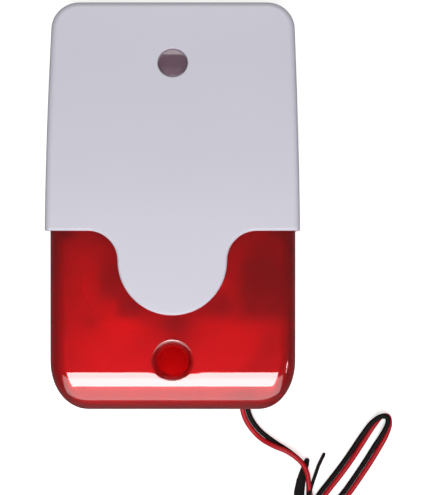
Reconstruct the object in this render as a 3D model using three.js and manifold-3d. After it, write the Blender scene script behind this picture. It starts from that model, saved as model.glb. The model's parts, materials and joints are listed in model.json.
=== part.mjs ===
// Wired alarm siren with a strobe: a white tray, a red lens that covers all of it, and a white hood
// over the lens's upper half. Millimetres; X right, Y towards the siren's top, Z out of its front.
import * as THREE from 'three';
import { mergeVertices } from 'three/addons/utils/BufferGeometryUtils.js';
import Module from 'manifold-3d';

const wasm = await Module();
wasm.setup();

// ---- Driving dimensions ----
const WIDTH = 73; // across the hood at its lip
const LENGTH = 119;
const DEPTH = 43; // back face to the hood's front
const TAPER = 1.4; // each side draws in by this much from the lip to the top
const TAPER_POWER = 1.3;
const GAP = 0.3; // between pieces that meet
const CUT = 1; // how far a cutter passes a face
const BITE = 0.5; // how far joined shapes sink into each other

const LENS_SHOWN = 52.4; // lip to the siren's lower edge
const HOOD_WALL = 0.85;
const HOOD_FRONT = 2;
const HOOD_FALL = 8; // how much lower the front is at the top than at the lip
const HOOD_EDGE = 2;
const HOOD_CORNER = 8;
const TONGUE_R = 15.65;
const SHOULDER_R = 8.5;
const SIDE_FIT = 0.25; // hood to lens, each side

const CASE_WALL = 2; // tray and lens
const LENS_FRONT = 2.2;
const LENS_EDGE = 4.5;
const LENS_CORNER_X = 11;
const LENS_CORNER_Y = 15;
const CHIN_LENGTH = 12; // where the lens's front starts to fall to the bottom edge
const CHIN_FALL = 9;
const DISH_HALF_X = 26.3;
const DISH_HALF_Y = 15.2;
const DISH_DEPTH = 0.7;
const DISH_FROM_WELL = 0.7; // dish's lower edge to the well's outside

const TRAY_DEPTH = 6;
const TRAY_FLOOR = 1.8;
const TRAY_CHAMFER = 0.8;
const RIB_WIDTH = 1;
const RIB_RISE = 2.3; // above the tray's edge
const RIB_FIT = 0.4;
const FOOT_RIB_INNER = 8; // the two ribs along the lower edge, from the middle line
const FOOT_RIB_OUTER = 16;

const HINGE_X = 18;
const HINGE_WIDTH = 8;
const HOOK_WIDTH = 6;
const BAR_R = 0.9;
const HOOK_WALL = 0.8;
const PIVOT_UNDER_EDGE = 1.8; // pivot below the tray's edge
const HOOK_REACH = 5; // height of the hook's arm above the pivot

const WELL_FROM_BOTTOM = 15;
const WELL_R = 6.3;
const WELL_BORE_R = 4.45;
const WELL_FLOOR = 2;
const WELL_LIP = 1.8; // depth of the cone at the mouth
const BOSS_R = 3.5;
const BOSS_TOP = 11.5;
const COVER_SCREW_R = 1.5;
const COVER_HEAD_R = 2.8;
const COVER_HEAD_HEIGHT = 2.2;
const COVER_SCREW_DEPTH = 6; // how far it enters the boss
const COVER_PILOT_FIT = 0.35; // the cover's swing carries the screw sideways by less than this
const COVER_HOLE_FIT = 0.25;
const WASHER_R = 3.5;
const WASHER_THICK = 0.5;
const WASHER_FIT = 0.2;
const CAP_FIT = 0.2;
const CAP_RECESS = 0.2; // cap's face below the foot of the cone
const CAP_THICK = 2.2;
const CAP_SKIRT = 6;
const CAP_SKIRT_WALL = 0.9;

const WINDOW_FROM_TOP = 18.1;
const WINDOW_R = 4.05;
const WINDOW_FIT = 0.2;
const WINDOW_RECESS = 0.35;
const WINDOW_CHAMFER = 0.45;
const WINDOW_FLANGE_R = 5;
const WINDOW_FLANGE = 1;
const WINDOW_SEAT_FIT = 0.6;

const LOUVRES = 5;
const LOUVRE_PITCH = 6;
const LOUVRE_WIDTH = 2;
const LOUVRE_LOW = 12;
const LOUVRE_HIGH = 24;

const BAFFLE_THICK = 1.2;
const BAFFLE_ABOVE_LIP = 11;
const BAFFLE_LUG = 2.6; // how far the two lugs show below the lip
const BAFFLE_LUG_WIDTH = 4.6;
const BAFFLE_LUG_THICK = 1.5;
const BAFFLE_LUG_DROP = 3; // its underside below the plate's
const BAFFLE_NECK = 2;
const BAFFLE_WEB = 11;

const KEYHOLE_R = 4;
const KEYHOLE_SLOT_R = 2.1;
const KEYHOLE_SLOT = 6;
const KEYHOLE_SPACING = 78;

const BOARD_THICK = 1.6;
const BOARD_LIFT = 3.5; // above the tray's floor
const BOARD_SIDE = 5.4; // case side to board edge
const BOARD_BELOW_LIP = 3;
const BOARD_ABOVE_WELL = 5.5;
const BOARD_CORNER = 2;
const BOARD_SCREW_INSET = 3.6;
const POST_R = 3;
const SCREW_R = 1.3;
const SCREW_HEAD_R = 2.3;
const SCREW_HEAD_HEIGHT = 1.6;
const SCREW_LENGTH = 5.2;
const SCREW_FIT = 0.25;

const SOUNDER_BELOW_LIP = 1.5; // lip to the sounder's lower edge
const SOUNDER_R = 22;
const SOUNDER_WALL = 4;
const SOUNDER_FLOOR = 2;
const SOUNDER_BELOW_FRONT = 22.9; // siren's front to the housing's top
const SOUNDER_POST_RISE = 2; // its screw posts above the housing's underside
const SOUNDER_LEDGE = 2;
const SOUNDER_CHAMBER = 8; // ledge to the housing's top
const SOUNDER_PORT = 12;
const DIAPHRAGM_THICK = 0.5;
const PIEZO_R = 12;
const PIEZO_THICK = 0.5;
const RING_THICK = 2;
const RING_MOUTH_R = 8;
const SOUNDER_PORT_FOOT = 2.4; // port's lower edge above the ledge
const SOUNDER_PORT_HEAD = 2; // port's upper edge below the housing's top
const RING_SCREWS = 3;
const EAR_REACH = 5; // ear's hole beyond the housing's side
const EAR_R = 4;
const EAR_THICK = 2.5;

const COIL_FROM_EDGE = 10.3; // board's left edge to the trigger coil's middle
const COIL_BELOW_LIP = 15.3;
const COIL_SIZE = [5.4, 7.5, 12];
const TRANSFORMER_FROM_EDGE = 8; // board's left edge to its side, clear of the screw
const TRANSFORMER_FROM_RESISTOR = 1.4;
const TRANSFORMER_ABOVE_BOTTOM = 6.2; // board's lower edge to its middle
const TRANSFORMER_LENGTH = 10;
const TRANSFORMER_HEIGHT = 5.4;
const BOBBIN_FLANGE = 1.2;
const BOBBIN_LIP_X = 1; // flange beyond the winding
const BOBBIN_LIP_Y = 0.6;
const CAN_R = 6.4;
const CAN_LENGTH = 17.8;
const CAN_OVERHANG = 2.5; // beyond the board's right edge
const CAN_BELOW_LIP = 17.8;
const CAN_CRIMP = 0.5;
const CAN_SLEEVE = 14; // the full-width part of the can
const TRANSISTOR_R = 3.2;
const TRANSISTOR_HALF = 3;
const TRANSISTOR_FLAT = 4.5;
const TRANSISTOR_ABOVE_WELL = 7.7;
const TRANSISTOR_HEIGHT = 8;
const SMALL_CAN_X = 9.5;
const SMALL_CAN_R = 2.5;
const SMALL_CAN_HEIGHT = 6.5;
const SMALL_CAN_ABOVE_BOTTOM = 5;
const RESISTOR_X = [-8.5, -5.2, 5.6];
const RESISTOR_ABOVE_BOTTOM = 4.2;
const RESISTOR_R = 0.9;
const RESISTOR_CAP_R = 1.1;
const RESISTOR_CAP = 1.2;
const RESISTOR_LENGTH = 4.4;
const RESISTOR_LEG_R = 0.3;
const RESISTOR_LEG = 2.4;

const LED_X = 0.8;
const LED_BELOW_WINDOW = 0.8;
const LED_POST_REACH = 10.5; // middle line to the indicator's post
const LED_BOARD_BELOW_FRONT = 12.9; // the hood's front at the window to the board's underside
const LED_BOARD_THICK = 1.2;
const LED_BOARD_RIM = 4;
const LED_R = 1.5;
const LED_RIM = 0.4;
const LED_HEIGHT = 5.3;

const REFLECTOR_THICK = 0.6;
const REFLECTOR_BASE = 14; // height of its trough
const REFLECTOR_RISE = 7.2;
const REFLECTOR_TOP_INSET = 17.5; // board's side to the reflector's upper corners
const REFLECTOR_LOW_INSET = 11.5;
const REFLECTOR_BELOW_LIP = 9.9; // lip to its upper edge
const REFLECTOR_LENGTH = 16;
const REFLECTOR_LEG_R = 1.2;
const REFLECTOR_LEG_INSET = 3;
const TUBE_CLEARANCE = 1.5; // tube above the trough's foot
const TUBE_R = 2;
const TUBE_INSET = 2.5; // reflector's upper corners to the tube's ends
const ELECTRODE_R = 2.3;
const ELECTRODE_LENGTH = 2;

const WIRE_R = 0.8;
const WIRE_STEP = 3.2;
const WIRE_SIDES = 8;
const PAIR_GAP = 0.14; // between the two wires' sides
const EXIT_X = 21.3;
const EXIT_Z = 3.1;
const GROMMET_WALL = 0.9;
const GROMMET_FIT = 0.3;
const GROMMET_FLANGE = 1;
const GROMMET_RIM = 1; // how far the flange stands out all round
const LEAD_R = 0.5;
const LEAD_BEND = 1.5;
const LEAD_FROM_EDGE = 2; // board's upper edge to the leads' feet
const SOUNDER_LEAD_X = [-6, -3];
const SOUNDER_LEAD_RISE = 4.5;
const CABLE_FROM_WALL = 3;
const CABLE_LIFT = 1.2; // above the tray's floor

// The supply pair's centre line from the tray to its hank, and the red wire's place around it in degrees:
// 180 is on the right of the way it runs, 90 on top, 0 on the left.
const SUPPLY_ROUTE = [
  [21.3, -59.8, 3.1, 180], [21.5, -62.2, 2.8, 180], [22.4, -65.2, 1.9, 180], [24.0, -67.9, 1.15, 180],
  [25.7, -69.9, 0.9, 180], [27.6, -71.5, 1.1, 165], [30.7, -73.4, 1.65, 130], [34.4, -75.3, 1.95, 100],
  [37.3, -77.3, 2.1, 90], [39.6, -79.6, 2.35, 90], [40.9, -82.6, 2.5, 90], [41.4, -86.2, 2.5, 90],
  [41.6, -88.2, 2.5, 90],
];
// Inside the tray the pair goes round the corner to the underside of the board.
const INNER_ROUTE = [
  [21.3, -56.0, 3.1, 180], [21.8, -54.0, 3.0, 180], [24.6, -50.6, 2.95, 180], [28.0, -46.6, 2.95, 180],
  [29.6, -42.0, 2.95, 180], [28.6, -38.2, 3.2, 180], [26.9, -35.6, 3.6, 180],
];
const HANK_TIP = [67, -63.6];
const HANK_TAIL = [29.3, -117.6];
const HANK_HALF_WIDTH = 4.8;
const HANK_BASE = 0.9;
const HANK_HEIGHT = 3.2;
const TIE_FROM_TIP = 41;
const TIE_WIDTH = 3;
const TIE_THICK = 0.55;
const TIE_TAILS = [[40.9, -78.2], [46.3, -75.9]];
const TIE_TAIL_WIDTH = 1.2;

// ---- Places worked out from the dimensions ----
const PAIR_OFFSET = WIRE_R + PAIR_GAP / 2; // each wire's centre from the pair's
const HOOD_LENGTH = LENGTH - LENS_SHOWN; // top to lip
const TOP = LENGTH / 2;
const BOTTOM = -LENGTH / 2;
const LIP = TOP - HOOD_LENGTH;
const CASE_INSET = HOOD_WALL + SIDE_FIT; // hood's outside to the case's outside
const CASE_HALF = WIDTH / 2 - CASE_INSET;
const CASE_TOP = TOP - CASE_INSET;
const COVER_EDGE = TRAY_DEPTH + GAP; // where the lens starts
const SKIRT_EDGE = COVER_EDGE + GAP; // where the hood starts
const PIVOT_Y = CASE_TOP - CASE_WALL / 2;
const PIVOT_Z = TRAY_DEPTH - PIVOT_UNDER_EDGE;
const HOOK_INNER_R = BAR_R + GAP;
const HOOK_OUTER_R = HOOK_INNER_R + HOOK_WALL;
const WELL_Y = BOTTOM + WELL_FROM_BOTTOM;
const LENS_Z = DEPTH - HOOD_FRONT - GAP; // the lens's front below the lip
const WELL_BASE = BOSS_TOP + GAP;
const WELL_SEAT = WELL_BASE + WELL_FLOOR;
const WASHER_Z = WELL_SEAT + GAP;
const COVER_HEAD_Z = WASHER_Z + WASHER_THICK + GAP;
const CAP_TOP = LENS_Z - WELL_LIP - CAP_RECESS;
const WINDOW_Y = TOP - WINDOW_FROM_TOP;
const BOARD_Z = TRAY_FLOOR + BOARD_LIFT;
const BOARD_TOP_Z = BOARD_Z + BOARD_THICK;
const PARTS_Z = BOARD_TOP_Z + GAP; // where the parts on the board start
const BOARD_HALF = CASE_HALF - BOARD_SIDE;
const BOARD_TOP = LIP - BOARD_BELOW_LIP;
const BOARD_BOTTOM = WELL_Y + BOARD_ABOVE_WELL;
const SOUNDER_Y = LIP - SOUNDER_BELOW_LIP + SOUNDER_R;
const SOUNDER_Z = TRAY_FLOOR + GAP;
const SOUNDER_TOP = DEPTH - SOUNDER_BELOW_FRONT;
const SOUNDER_LEDGE_Z = SOUNDER_TOP - SOUNDER_CHAMBER;
const REFLECTOR_TOP = LIP - REFLECTOR_BELOW_LIP;
const REFLECTOR_TOP_HALF = BOARD_HALF - REFLECTOR_TOP_INSET;
const REFLECTOR_LOW_HALF = BOARD_HALF - REFLECTOR_LOW_INSET;
const TUBE_LENGTH = (REFLECTOR_TOP_HALF - TUBE_INSET) * 2;
const REFLECTOR_Y = REFLECTOR_TOP - REFLECTOR_LENGTH / 2;

// ---- Looks ----
const WHITE = { color: 0xe6e3ec, roughness: 0.35, metalness: 0 };
const LENS_RED = { color: 0xc81420, roughness: 0.1, metalness: 0 };
const MAUVE = { color: 0x85697a, roughness: 0.15, metalness: 0 };
const BLACK = { color: 0x1b1a1c, roughness: 0.5, metalness: 0 };
const RUBBER = { color: 0x141414, roughness: 0.8, metalness: 0 };
const BOARD = { color: 0xd8c090, roughness: 0.5, metalness: 0 };
const STEEL = { color: 0xb9bcc0, roughness: 0.3, metalness: 1 };
const BRASS = { color: 0xc9a14a, roughness: 0.3, metalness: 1 };
const CERAMIC = { color: 0xe9e4d8, roughness: 0.5, metalness: 0 };
const MIRROR = { color: 0xe8e8ea, roughness: 0.08, metalness: 1 };
const GLASS = { color: 0xe4ecf0, roughness: 0.05, metalness: 0 };
const YELLOW = { color: 0xe2c23c, roughness: 0.4, metalness: 0 };
const BROWN = { color: 0x4a2c1c, roughness: 0.5, metalness: 0 };
const BEIGE = { color: 0xd9b88a, roughness: 0.5, metalness: 0 };
const WIRE_RED = { color: 0xc01820, roughness: 0.4, metalness: 0 };
const WIRE_BLACK = { color: 0x161516, roughness: 0.4, metalness: 0 };
const LED_CLEAR = { color: 0xa8b090, roughness: 0.1, metalness: 0 };

// ---- Solids ----
const siren = new THREE.Group();

function solidOf(geometry) {
  geometry.deleteAttribute('normal');
  geometry.deleteAttribute('uv');
  const merged = mergeVertices(geometry, 1e-4);
  const vertProperties = new Float32Array(merged.attributes.position.array);
  const triVerts = new Uint32Array(merged.index.array);
  return new wasm.Manifold(new wasm.Mesh({ numProp: 3, vertProperties, triVerts }));
}

function add(name, look, solid) {
  const mesh = solid.getMesh();
  const geometry = new THREE.BufferGeometry();
  geometry.setAttribute('position', new THREE.BufferAttribute(mesh.vertProperties, 3));
  geometry.setIndex(new THREE.BufferAttribute(mesh.triVerts, 1));
  geometry.computeVertexNormals();
  const piece = new THREE.Mesh(geometry, new THREE.MeshStandardMaterial(look));
  piece.name = name;
  siren.add(piece);
}

function unite(...solids) {
  return solids.reduce((whole, solid) => whole.add(solid));
}

function cut(solid, ...cutters) {
  return cutters.reduce((rest, cutter) => rest.subtract(cutter), solid);
}

// A box between two corners.
function box(low, high) {
  const size = high.map((value, axis) => value - low[axis]);
  const geometry = new THREE.BoxGeometry(...size);
  geometry.translate(...low.map((value, axis) => value + size[axis] / 2));
  return solidOf(geometry);
}

// An upright cylinder.
function post(x, y, radius, low, high, sides = 16) {
  const geometry = new THREE.CylinderGeometry(radius, radius, high - low, sides);
  geometry.rotateX(Math.PI / 2);
  geometry.translate(x, y, (low + high) / 2);
  return solidOf(geometry);
}

// A cylinder along X or Y.
function rod(axis, centre, radius, length, sides = 16) {
  const geometry = new THREE.CylinderGeometry(radius, radius, length, sides);
  if (axis === 'x') geometry.rotateZ(-Math.PI / 2);
  geometry.translate(...centre);
  return solidOf(geometry);
}

// A solid turned about an upright axis from [radius, height] points that start and end on the axis.
function turned(profile, sides = 20) {
  const points = profile.map(([radius, height]) => new THREE.Vector2(radius, height));
  const geometry = new THREE.LatheGeometry(points, sides);
  geometry.rotateX(Math.PI / 2);
  return geometry;
}

function prism(shape, low, high, segments = 16) {
  const options = { depth: high - low, bevelEnabled: false, curveSegments: segments };
  const geometry = new THREE.ExtrudeGeometry(shape, options);
  geometry.translate(0, 0, low);
  return solidOf(geometry);
}

// A prism along X of an outline drawn with Y across and Z up.
function prismAlongX(shape, low, high, segments = 8) {
  const options = { depth: high - low, bevelEnabled: false, curveSegments: segments };
  const geometry = new THREE.ExtrudeGeometry(shape, options);
  const along = new THREE.Vector3(1, 0, 0);
  const across = new THREE.Vector3(0, 1, 0);
  const up = new THREE.Vector3(0, 0, 1);
  geometry.applyMatrix4(new THREE.Matrix4().makeBasis(across, up, along));
  geometry.translate(low, 0, 0);
  return solidOf(geometry);
}

function shapeOf(points) {
  return new THREE.Shape(points.map(([x, y]) => new THREE.Vector2(x, y)));
}

function roundedShape(left, right, low, high, radius) {
  const shape = new THREE.Shape();
  shape.absarc(right - radius, low + radius, radius, -Math.PI / 2, 0);
  shape.absarc(right - radius, high - radius, radius, 0, Math.PI / 2);
  shape.absarc(left + radius, high - radius, radius, Math.PI / 2, Math.PI);
  shape.absarc(left + radius, low + radius, radius, Math.PI, Math.PI * 1.5);
  return shape;
}

// ---- The case's outline ----
function halfWidthAt(y, half) {
  const along = Math.max(0, (y - LIP) / HOOD_LENGTH);
  return half - TAPER * along ** TAPER_POWER;
}

// Points up the right side of a form, drawn in by an inset: bottom corner, side, top corner.
function sideRows(form, inset) {
  const rows = [];
  const steps = 5;
  const lowY = form.bottom + form.cornerY;
  const highY = form.top - form.cornerTop;
  const lowX = halfWidthAt(lowY, form.half) - form.cornerX;
  const highX = halfWidthAt(highY, form.half) - form.cornerTop;
  for (let i = 0; i <= steps; i += 1) {
    const turn = -Math.PI / 2 + (i / steps) * (Math.PI / 2);
    const x = lowX + (form.cornerX - inset) * Math.cos(turn);
    rows.push([x, lowY + (form.cornerY - inset) * Math.sin(turn)]);
  }
  const between = Math.max(2, Math.round((highY - lowY) / 8));
  for (let i = 1; i < between; i += 1) {
    const y = lowY + ((highY - lowY) * i) / between;
    rows.push([halfWidthAt(y, form.half) - inset, y]);
  }
  for (let i = 0; i <= steps; i += 1) {
    const turn = (i / steps) * (Math.PI / 2);
    const reach = form.cornerTop - inset;
    rows.push([highX + reach * Math.cos(turn), highY + reach * Math.sin(turn)]);
  }
  return rows;
}

// A closed skin through loops that run up the right side and down the left, capped across both ends.
function loftGeometry(loops) {
  const size = loops[0].length;
  const index = [];
  const quad = (a, b, c, d) => index.push(a, b, c, a, c, d);
  for (let k = 0; k < loops.length - 1; k += 1) {
    for (let j = 0; j < size; j += 1) {
      const next = (j + 1) % size;
      quad(k * size + j, k * size + next, (k + 1) * size + next, (k + 1) * size + j);
    }
  }
  const last = (loops.length - 1) * size;
  for (let i = 0; i < size / 2 - 1; i += 1) {
    const left = size - 1 - i;
    quad(last + i, last + i + 1, last + left - 1, last + left);
    quad(left, left - 1, i + 1, i);
  }
  const geometry = new THREE.BufferGeometry();
  geometry.setAttribute('position', new THREE.Float32BufferAttribute(loops.flat(2), 3));
  geometry.setIndex(index);
  return geometry;
}

// A solid with a form's outline, through levels of inset and height.
function formSolid(form, levels) {
  const loops = levels.map(({ inset, height }) => {
    const right = sideRows(form, inset).map(([x, y]) => [x, y, height(y)]);
    const left = right.map(([x, y, z]) => [-x, y, z]).reverse();
    return [...right, ...left];
  });
  return solidOf(loftGeometry(loops));
}

// Levels from a flat start up a side and round an edge to a curved front.
function frontLevels(start, inset, edge, front) {
  const steps = 4;
  const levels = [{ inset, height: () => start }];
  for (let i = 0; i <= steps; i += 1) {
    const turn = (i / steps) * (Math.PI / 2);
    const drop = edge * (1 - Math.sin(turn));
    levels.push({ inset: inset + edge * (1 - Math.cos(turn)), height: (y) => front(y) - drop });
  }
  return levels;
}

function hoodFront(y) {
  const along = Math.max(0, (y - LIP) / HOOD_LENGTH);
  return DEPTH - HOOD_FALL * along ** 2;
}

function lensFront(y) {
  const along = Math.min(1, Math.max(0, (BOTTOM + CHIN_LENGTH - y) / CHIN_LENGTH));
  return hoodFront(y) - HOOD_FRONT - GAP - CHIN_FALL * (1 - Math.sqrt(1 - along ** 2));
}

const CASE_FORM = {
  half: CASE_HALF,
  bottom: BOTTOM,
  top: CASE_TOP,
  cornerX: LENS_CORNER_X,
  cornerY: LENS_CORNER_Y,
  cornerTop: HOOD_CORNER - CASE_INSET,
};
const HOOD_FORM = {
  half: WIDTH / 2,
  bottom: LIP - SHOULDER_R - TONGUE_R - HOOD_CORNER,
  top: TOP,
  cornerX: HOOD_EDGE + HOOD_WALL,
  cornerY: HOOD_EDGE + HOOD_WALL,
  cornerTop: HOOD_CORNER,
};

// ---- Fasteners ----
// A pan-headed screw standing on its seat at the given height, with a crossed slot.
function screwSolid(x, y, seat, head, headHeight, radius, length) {
  const slot = head * 0.55;
  const slotWidth = head * 0.14;
  const slotFloor = seat + headHeight * 0.5;
  const top = seat + headHeight;
  const profile = [
    [0, seat - length], [radius, seat - length + radius], [radius, seat],
    [head, seat], [head, seat + headHeight * 0.4], [head * 0.7, top], [0, top],
  ];
  const body = turned(profile, 12);
  body.translate(x, y, 0);
  const across = box([x - slot, y - slotWidth, slotFloor], [x + slot, y + slotWidth, top + CUT]);
  const along = box([x - slotWidth, y - slot, slotFloor], [x + slotWidth, y + slot, top + CUT]);
  return cut(solidOf(body), across, along);
}

function smallScrew(name, x, y, seat) {
  add(name, STEEL, screwSolid(x, y, seat, SCREW_HEAD_R, SCREW_HEAD_HEIGHT, SCREW_R, SCREW_LENGTH));
}

// A post in the tray with a blind bore for a small screw.
function screwPost(x, y, top) {
  const outside = post(x, y, POST_R, TRAY_FLOOR - BITE, top);
  return { outside, bore: post(x, y, SCREW_R + SCREW_FIT, TRAY_FLOOR, top + CUT, 12) };
}

const BOARD_SCREWS = [
  [-BOARD_HALF + BOARD_SCREW_INSET, BOARD_BOTTOM + BOARD_SCREW_INSET],
  [BOARD_HALF - BOARD_SCREW_INSET, BOARD_TOP - BOARD_SCREW_INSET],
];
// The sounder's ears stand out at its lower left and upper right, level with its lower and upper edges.
const EAR_OUT = SOUNDER_R + EAR_REACH;
const EAR_UP = SOUNDER_R - EAR_R;
const EAR_ACROSS = Math.sqrt(EAR_OUT ** 2 - EAR_UP ** 2);
const SOUNDER_SCREWS = [[-EAR_ACROSS, SOUNDER_Y - EAR_UP], [EAR_ACROSS, SOUNDER_Y + EAR_UP]];
const LED_Y = WINDOW_Y - LED_BELOW_WINDOW;
// The indicator's post stands beside the window, and clear of the sounder where that comes as high.
const POST_CLEAR = SOUNDER_R + POST_R + GAP;
const POST_RISE = Math.min(POST_CLEAR, Math.abs(LED_Y - SOUNDER_Y));
const LED_POST_X = -Math.max(LED_POST_REACH, Math.sqrt(POST_CLEAR ** 2 - POST_RISE ** 2));
const LED_BOARD_Z = hoodFront(WINDOW_Y) - LED_BOARD_BELOW_FRONT;
const LED_POST = [LED_POST_X, LED_Y];

// ---- Tray ----
function trayShell() {
  const outside = formSolid(CASE_FORM, [
    { inset: TRAY_CHAMFER, height: () => 0 },
    { inset: 0, height: () => TRAY_CHAMFER },
    { inset: 0, height: () => TRAY_DEPTH },
  ]);
  const inside = formSolid(CASE_FORM, [
    { inset: CASE_WALL, height: () => TRAY_FLOOR },
    { inset: CASE_WALL, height: () => TRAY_DEPTH + CUT },
  ]);
  return cut(outside, inside);
}

function keyhole(y) {
  const slotTop = y + KEYHOLE_SLOT;
  return unite(
    post(0, y, KEYHOLE_R, -CUT, TRAY_FLOOR + CUT, 20),
    box([-KEYHOLE_SLOT_R, y, -CUT], [KEYHOLE_SLOT_R, slotTop, TRAY_FLOOR + CUT]),
    post(0, slotTop, KEYHOLE_SLOT_R, -CUT, TRAY_FLOOR + CUT),
  );
}

// Two distances from the middle line, as X from low to high on the side asked for.
function spread(side, near, far) {
  return side < 0 ? [-far, -near] : [near, far];
}

// Ribs inside the tray's edge that keep the cover in line.
function ribs() {
  const top = TRAY_DEPTH + RIB_RISE;
  const outer = CASE_HALF - CASE_WALL - RIB_FIT;
  const low = BOTTOM + LENS_CORNER_Y + 2;
  const footY = BOTTOM + CASE_WALL + RIB_FIT;
  const root = TRAY_FLOOR - BITE;
  return [-1, 1].flatMap((side) => {
    const x = spread(side, outer - RIB_WIDTH, outer);
    const foot = spread(side, FOOT_RIB_INNER, FOOT_RIB_OUTER);
    return [
      box([x[0], low, root], [x[1], LIP - 1, top]),
      box([foot[0], footY, root], [foot[1], footY + RIB_WIDTH, top]),
    ];
  });
}

function hingeNotch(x) {
  const floor = PIVOT_Z - HOOK_OUTER_R - GAP;
  const half = HINGE_WIDTH / 2;
  const low = [x - half, CASE_TOP - CASE_WALL - CUT, Math.max(floor, TRAY_FLOOR)];
  return box(low, [x + half, CASE_TOP + CUT, TRAY_DEPTH + CUT]);
}

function grommetSection(width, height) {
  const left = EXIT_X - width / 2;
  const low = EXIT_Z - height / 2;
  return roundedShape(left, left + width, low, low + height, height / 2.2);
}

const PASSAGE_WIDTH = 2 * (PAIR_OFFSET + WIRE_R + GAP);
const PASSAGE_HEIGHT = 2 * (WIRE_R + GAP);
const GROMMET_WIDTH = PASSAGE_WIDTH + 2 * GROMMET_WALL;
const GROMMET_HEIGHT = PASSAGE_HEIGHT + 2 * GROMMET_WALL;

// A prism along Y of an outline drawn with X across and Z up.
function prismAlongY(shape, low, high) {
  const options = { depth: high - low, bevelEnabled: false, curveSegments: 3 };
  const geometry = new THREE.ExtrudeGeometry(shape, options);
  geometry.rotateX(Math.PI / 2);
  geometry.translate(0, high, 0);
  return solidOf(geometry);
}

function makeTray() {
  const posts = [
    ...BOARD_SCREWS.map(([x, y]) => screwPost(x, y, BOARD_Z - GAP)),
    ...SOUNDER_SCREWS.map(([x, y]) => screwPost(x, y, SOUNDER_Z + SOUNDER_POST_RISE)),
    screwPost(...LED_POST, LED_BOARD_Z - GAP),
  ];
  const boss = post(0, WELL_Y, BOSS_R, TRAY_FLOOR - BITE, BOSS_TOP);
  const pilot = post(0, WELL_Y, COVER_SCREW_R + COVER_PILOT_FIT, TRAY_FLOOR + 1, BOSS_TOP + CUT);
  const hole = grommetSection(GROMMET_WIDTH + GROMMET_FIT * 2, GROMMET_HEIGHT + GROMMET_FIT);
  let tray = unite(trayShell(), boss, ...posts.map((each) => each.outside), ...ribs());
  tray = cut(tray, pilot, ...posts.map((each) => each.bore));
  tray = cut(tray, keyhole(KEYHOLE_SPACING / 2), keyhole(-KEYHOLE_SPACING / 2));
  const pocket = grommetSection(GROMMET_WIDTH + GROMMET_RIM * 2 + GAP * 2, GROMMET_HEIGHT + GROMMET_FIT);
  const pocketEnd = BOTTOM + CASE_WALL + GAP + GROMMET_FLANGE + GAP;
  tray = cut(tray, prismAlongY(hole, BOTTOM - CUT, BOTTOM + CASE_WALL + CUT));
  tray = cut(tray, prismAlongY(pocket, BOTTOM + CASE_WALL, pocketEnd));
  for (const x of [-HINGE_X, HINGE_X]) {
    const bar = rod('x', [x, PIVOT_Y, PIVOT_Z], BAR_R, HINGE_WIDTH + 2 * BITE);
    tray = cut(tray, hingeNotch(x)).add(bar);
  }
  add('back_plate', WHITE, tray);
}

function makeGrommet() {
  const inside = BOTTOM + CASE_WALL + GAP;
  const end = inside + GROMMET_FLANGE;
  const height = GROMMET_HEIGHT - GROMMET_FIT;
  const body = prismAlongY(grommetSection(GROMMET_WIDTH, height), BOTTOM, inside + BITE);
  const flange = prismAlongY(grommetSection(GROMMET_WIDTH + GROMMET_RIM * 2, height), inside, end);
  const passage = prismAlongY(grommetSection(PASSAGE_WIDTH, PASSAGE_HEIGHT), BOTTOM - CUT, end + CUT);
  add('cable_grommet', RUBBER, cut(body.add(flange), passage));
}

// ---- Cover ----
function hookSolid(x) {
  const shape = new THREE.Shape();
  const end = Math.PI * (5 / 3);
  const inner = HOOK_INNER_R;
  const outer = HOOK_OUTER_R;
  const edge = COVER_EDGE - PIVOT_Z;
  shape.moveTo(-BITE, HOOK_REACH);
  shape.lineTo(-outer, HOOK_REACH);
  shape.absarc(0, 0, outer, Math.PI, end, false);
  shape.absarc(0, 0, inner, end, Math.PI, true);
  shape.lineTo(-inner, edge);
  shape.lineTo(-BITE, edge);
  const hook = prismAlongX(shape, x - HOOK_WIDTH / 2, x + HOOK_WIDTH / 2);
  return hook.translate(0, PIVOT_Y, PIVOT_Z);
}

// The way out of the hood's front at the window: up, and leaning back with the slope.
function windowFrame() {
  const slope = (-2 * HOOD_FALL * (WINDOW_Y - LIP)) / HOOD_LENGTH ** 2;
  return { lean: Math.atan(slope), z: hoodFront(WINDOW_Y) };
}

function atWindow(geometry) {
  const { lean, z } = windowFrame();
  geometry.rotateX(lean);
  geometry.translate(0, WINDOW_Y, z);
  return solidOf(geometry);
}

function louvreCuts(margin) {
  const cuts = [];
  for (let i = 0; i < LOUVRES; i += 1) {
    const y = SOUNDER_Y + (i - (LOUVRES - 1) / 2) * LOUVRE_PITCH;
    const reach = WIDTH / 2 + CUT;
    const low = [-reach, y - LOUVRE_WIDTH / 2 - margin, LOUVRE_LOW - margin];
    cuts.push(box(low, [reach, y + LOUVRE_WIDTH / 2 + margin, LOUVRE_HIGH + margin]));
  }
  return cuts;
}

// A shallow elliptical dish sunk straight into the lens's front.
function dishCut() {
  const shape = new THREE.Shape();
  const y = WELL_Y + WELL_R + DISH_HALF_Y + DISH_FROM_WELL;
  shape.absellipse(0, y, DISH_HALF_X, DISH_HALF_Y, 0, Math.PI * 2);
  return prism(shape, LENS_Z - DISH_DEPTH, DEPTH + CUT, 16);
}

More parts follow.
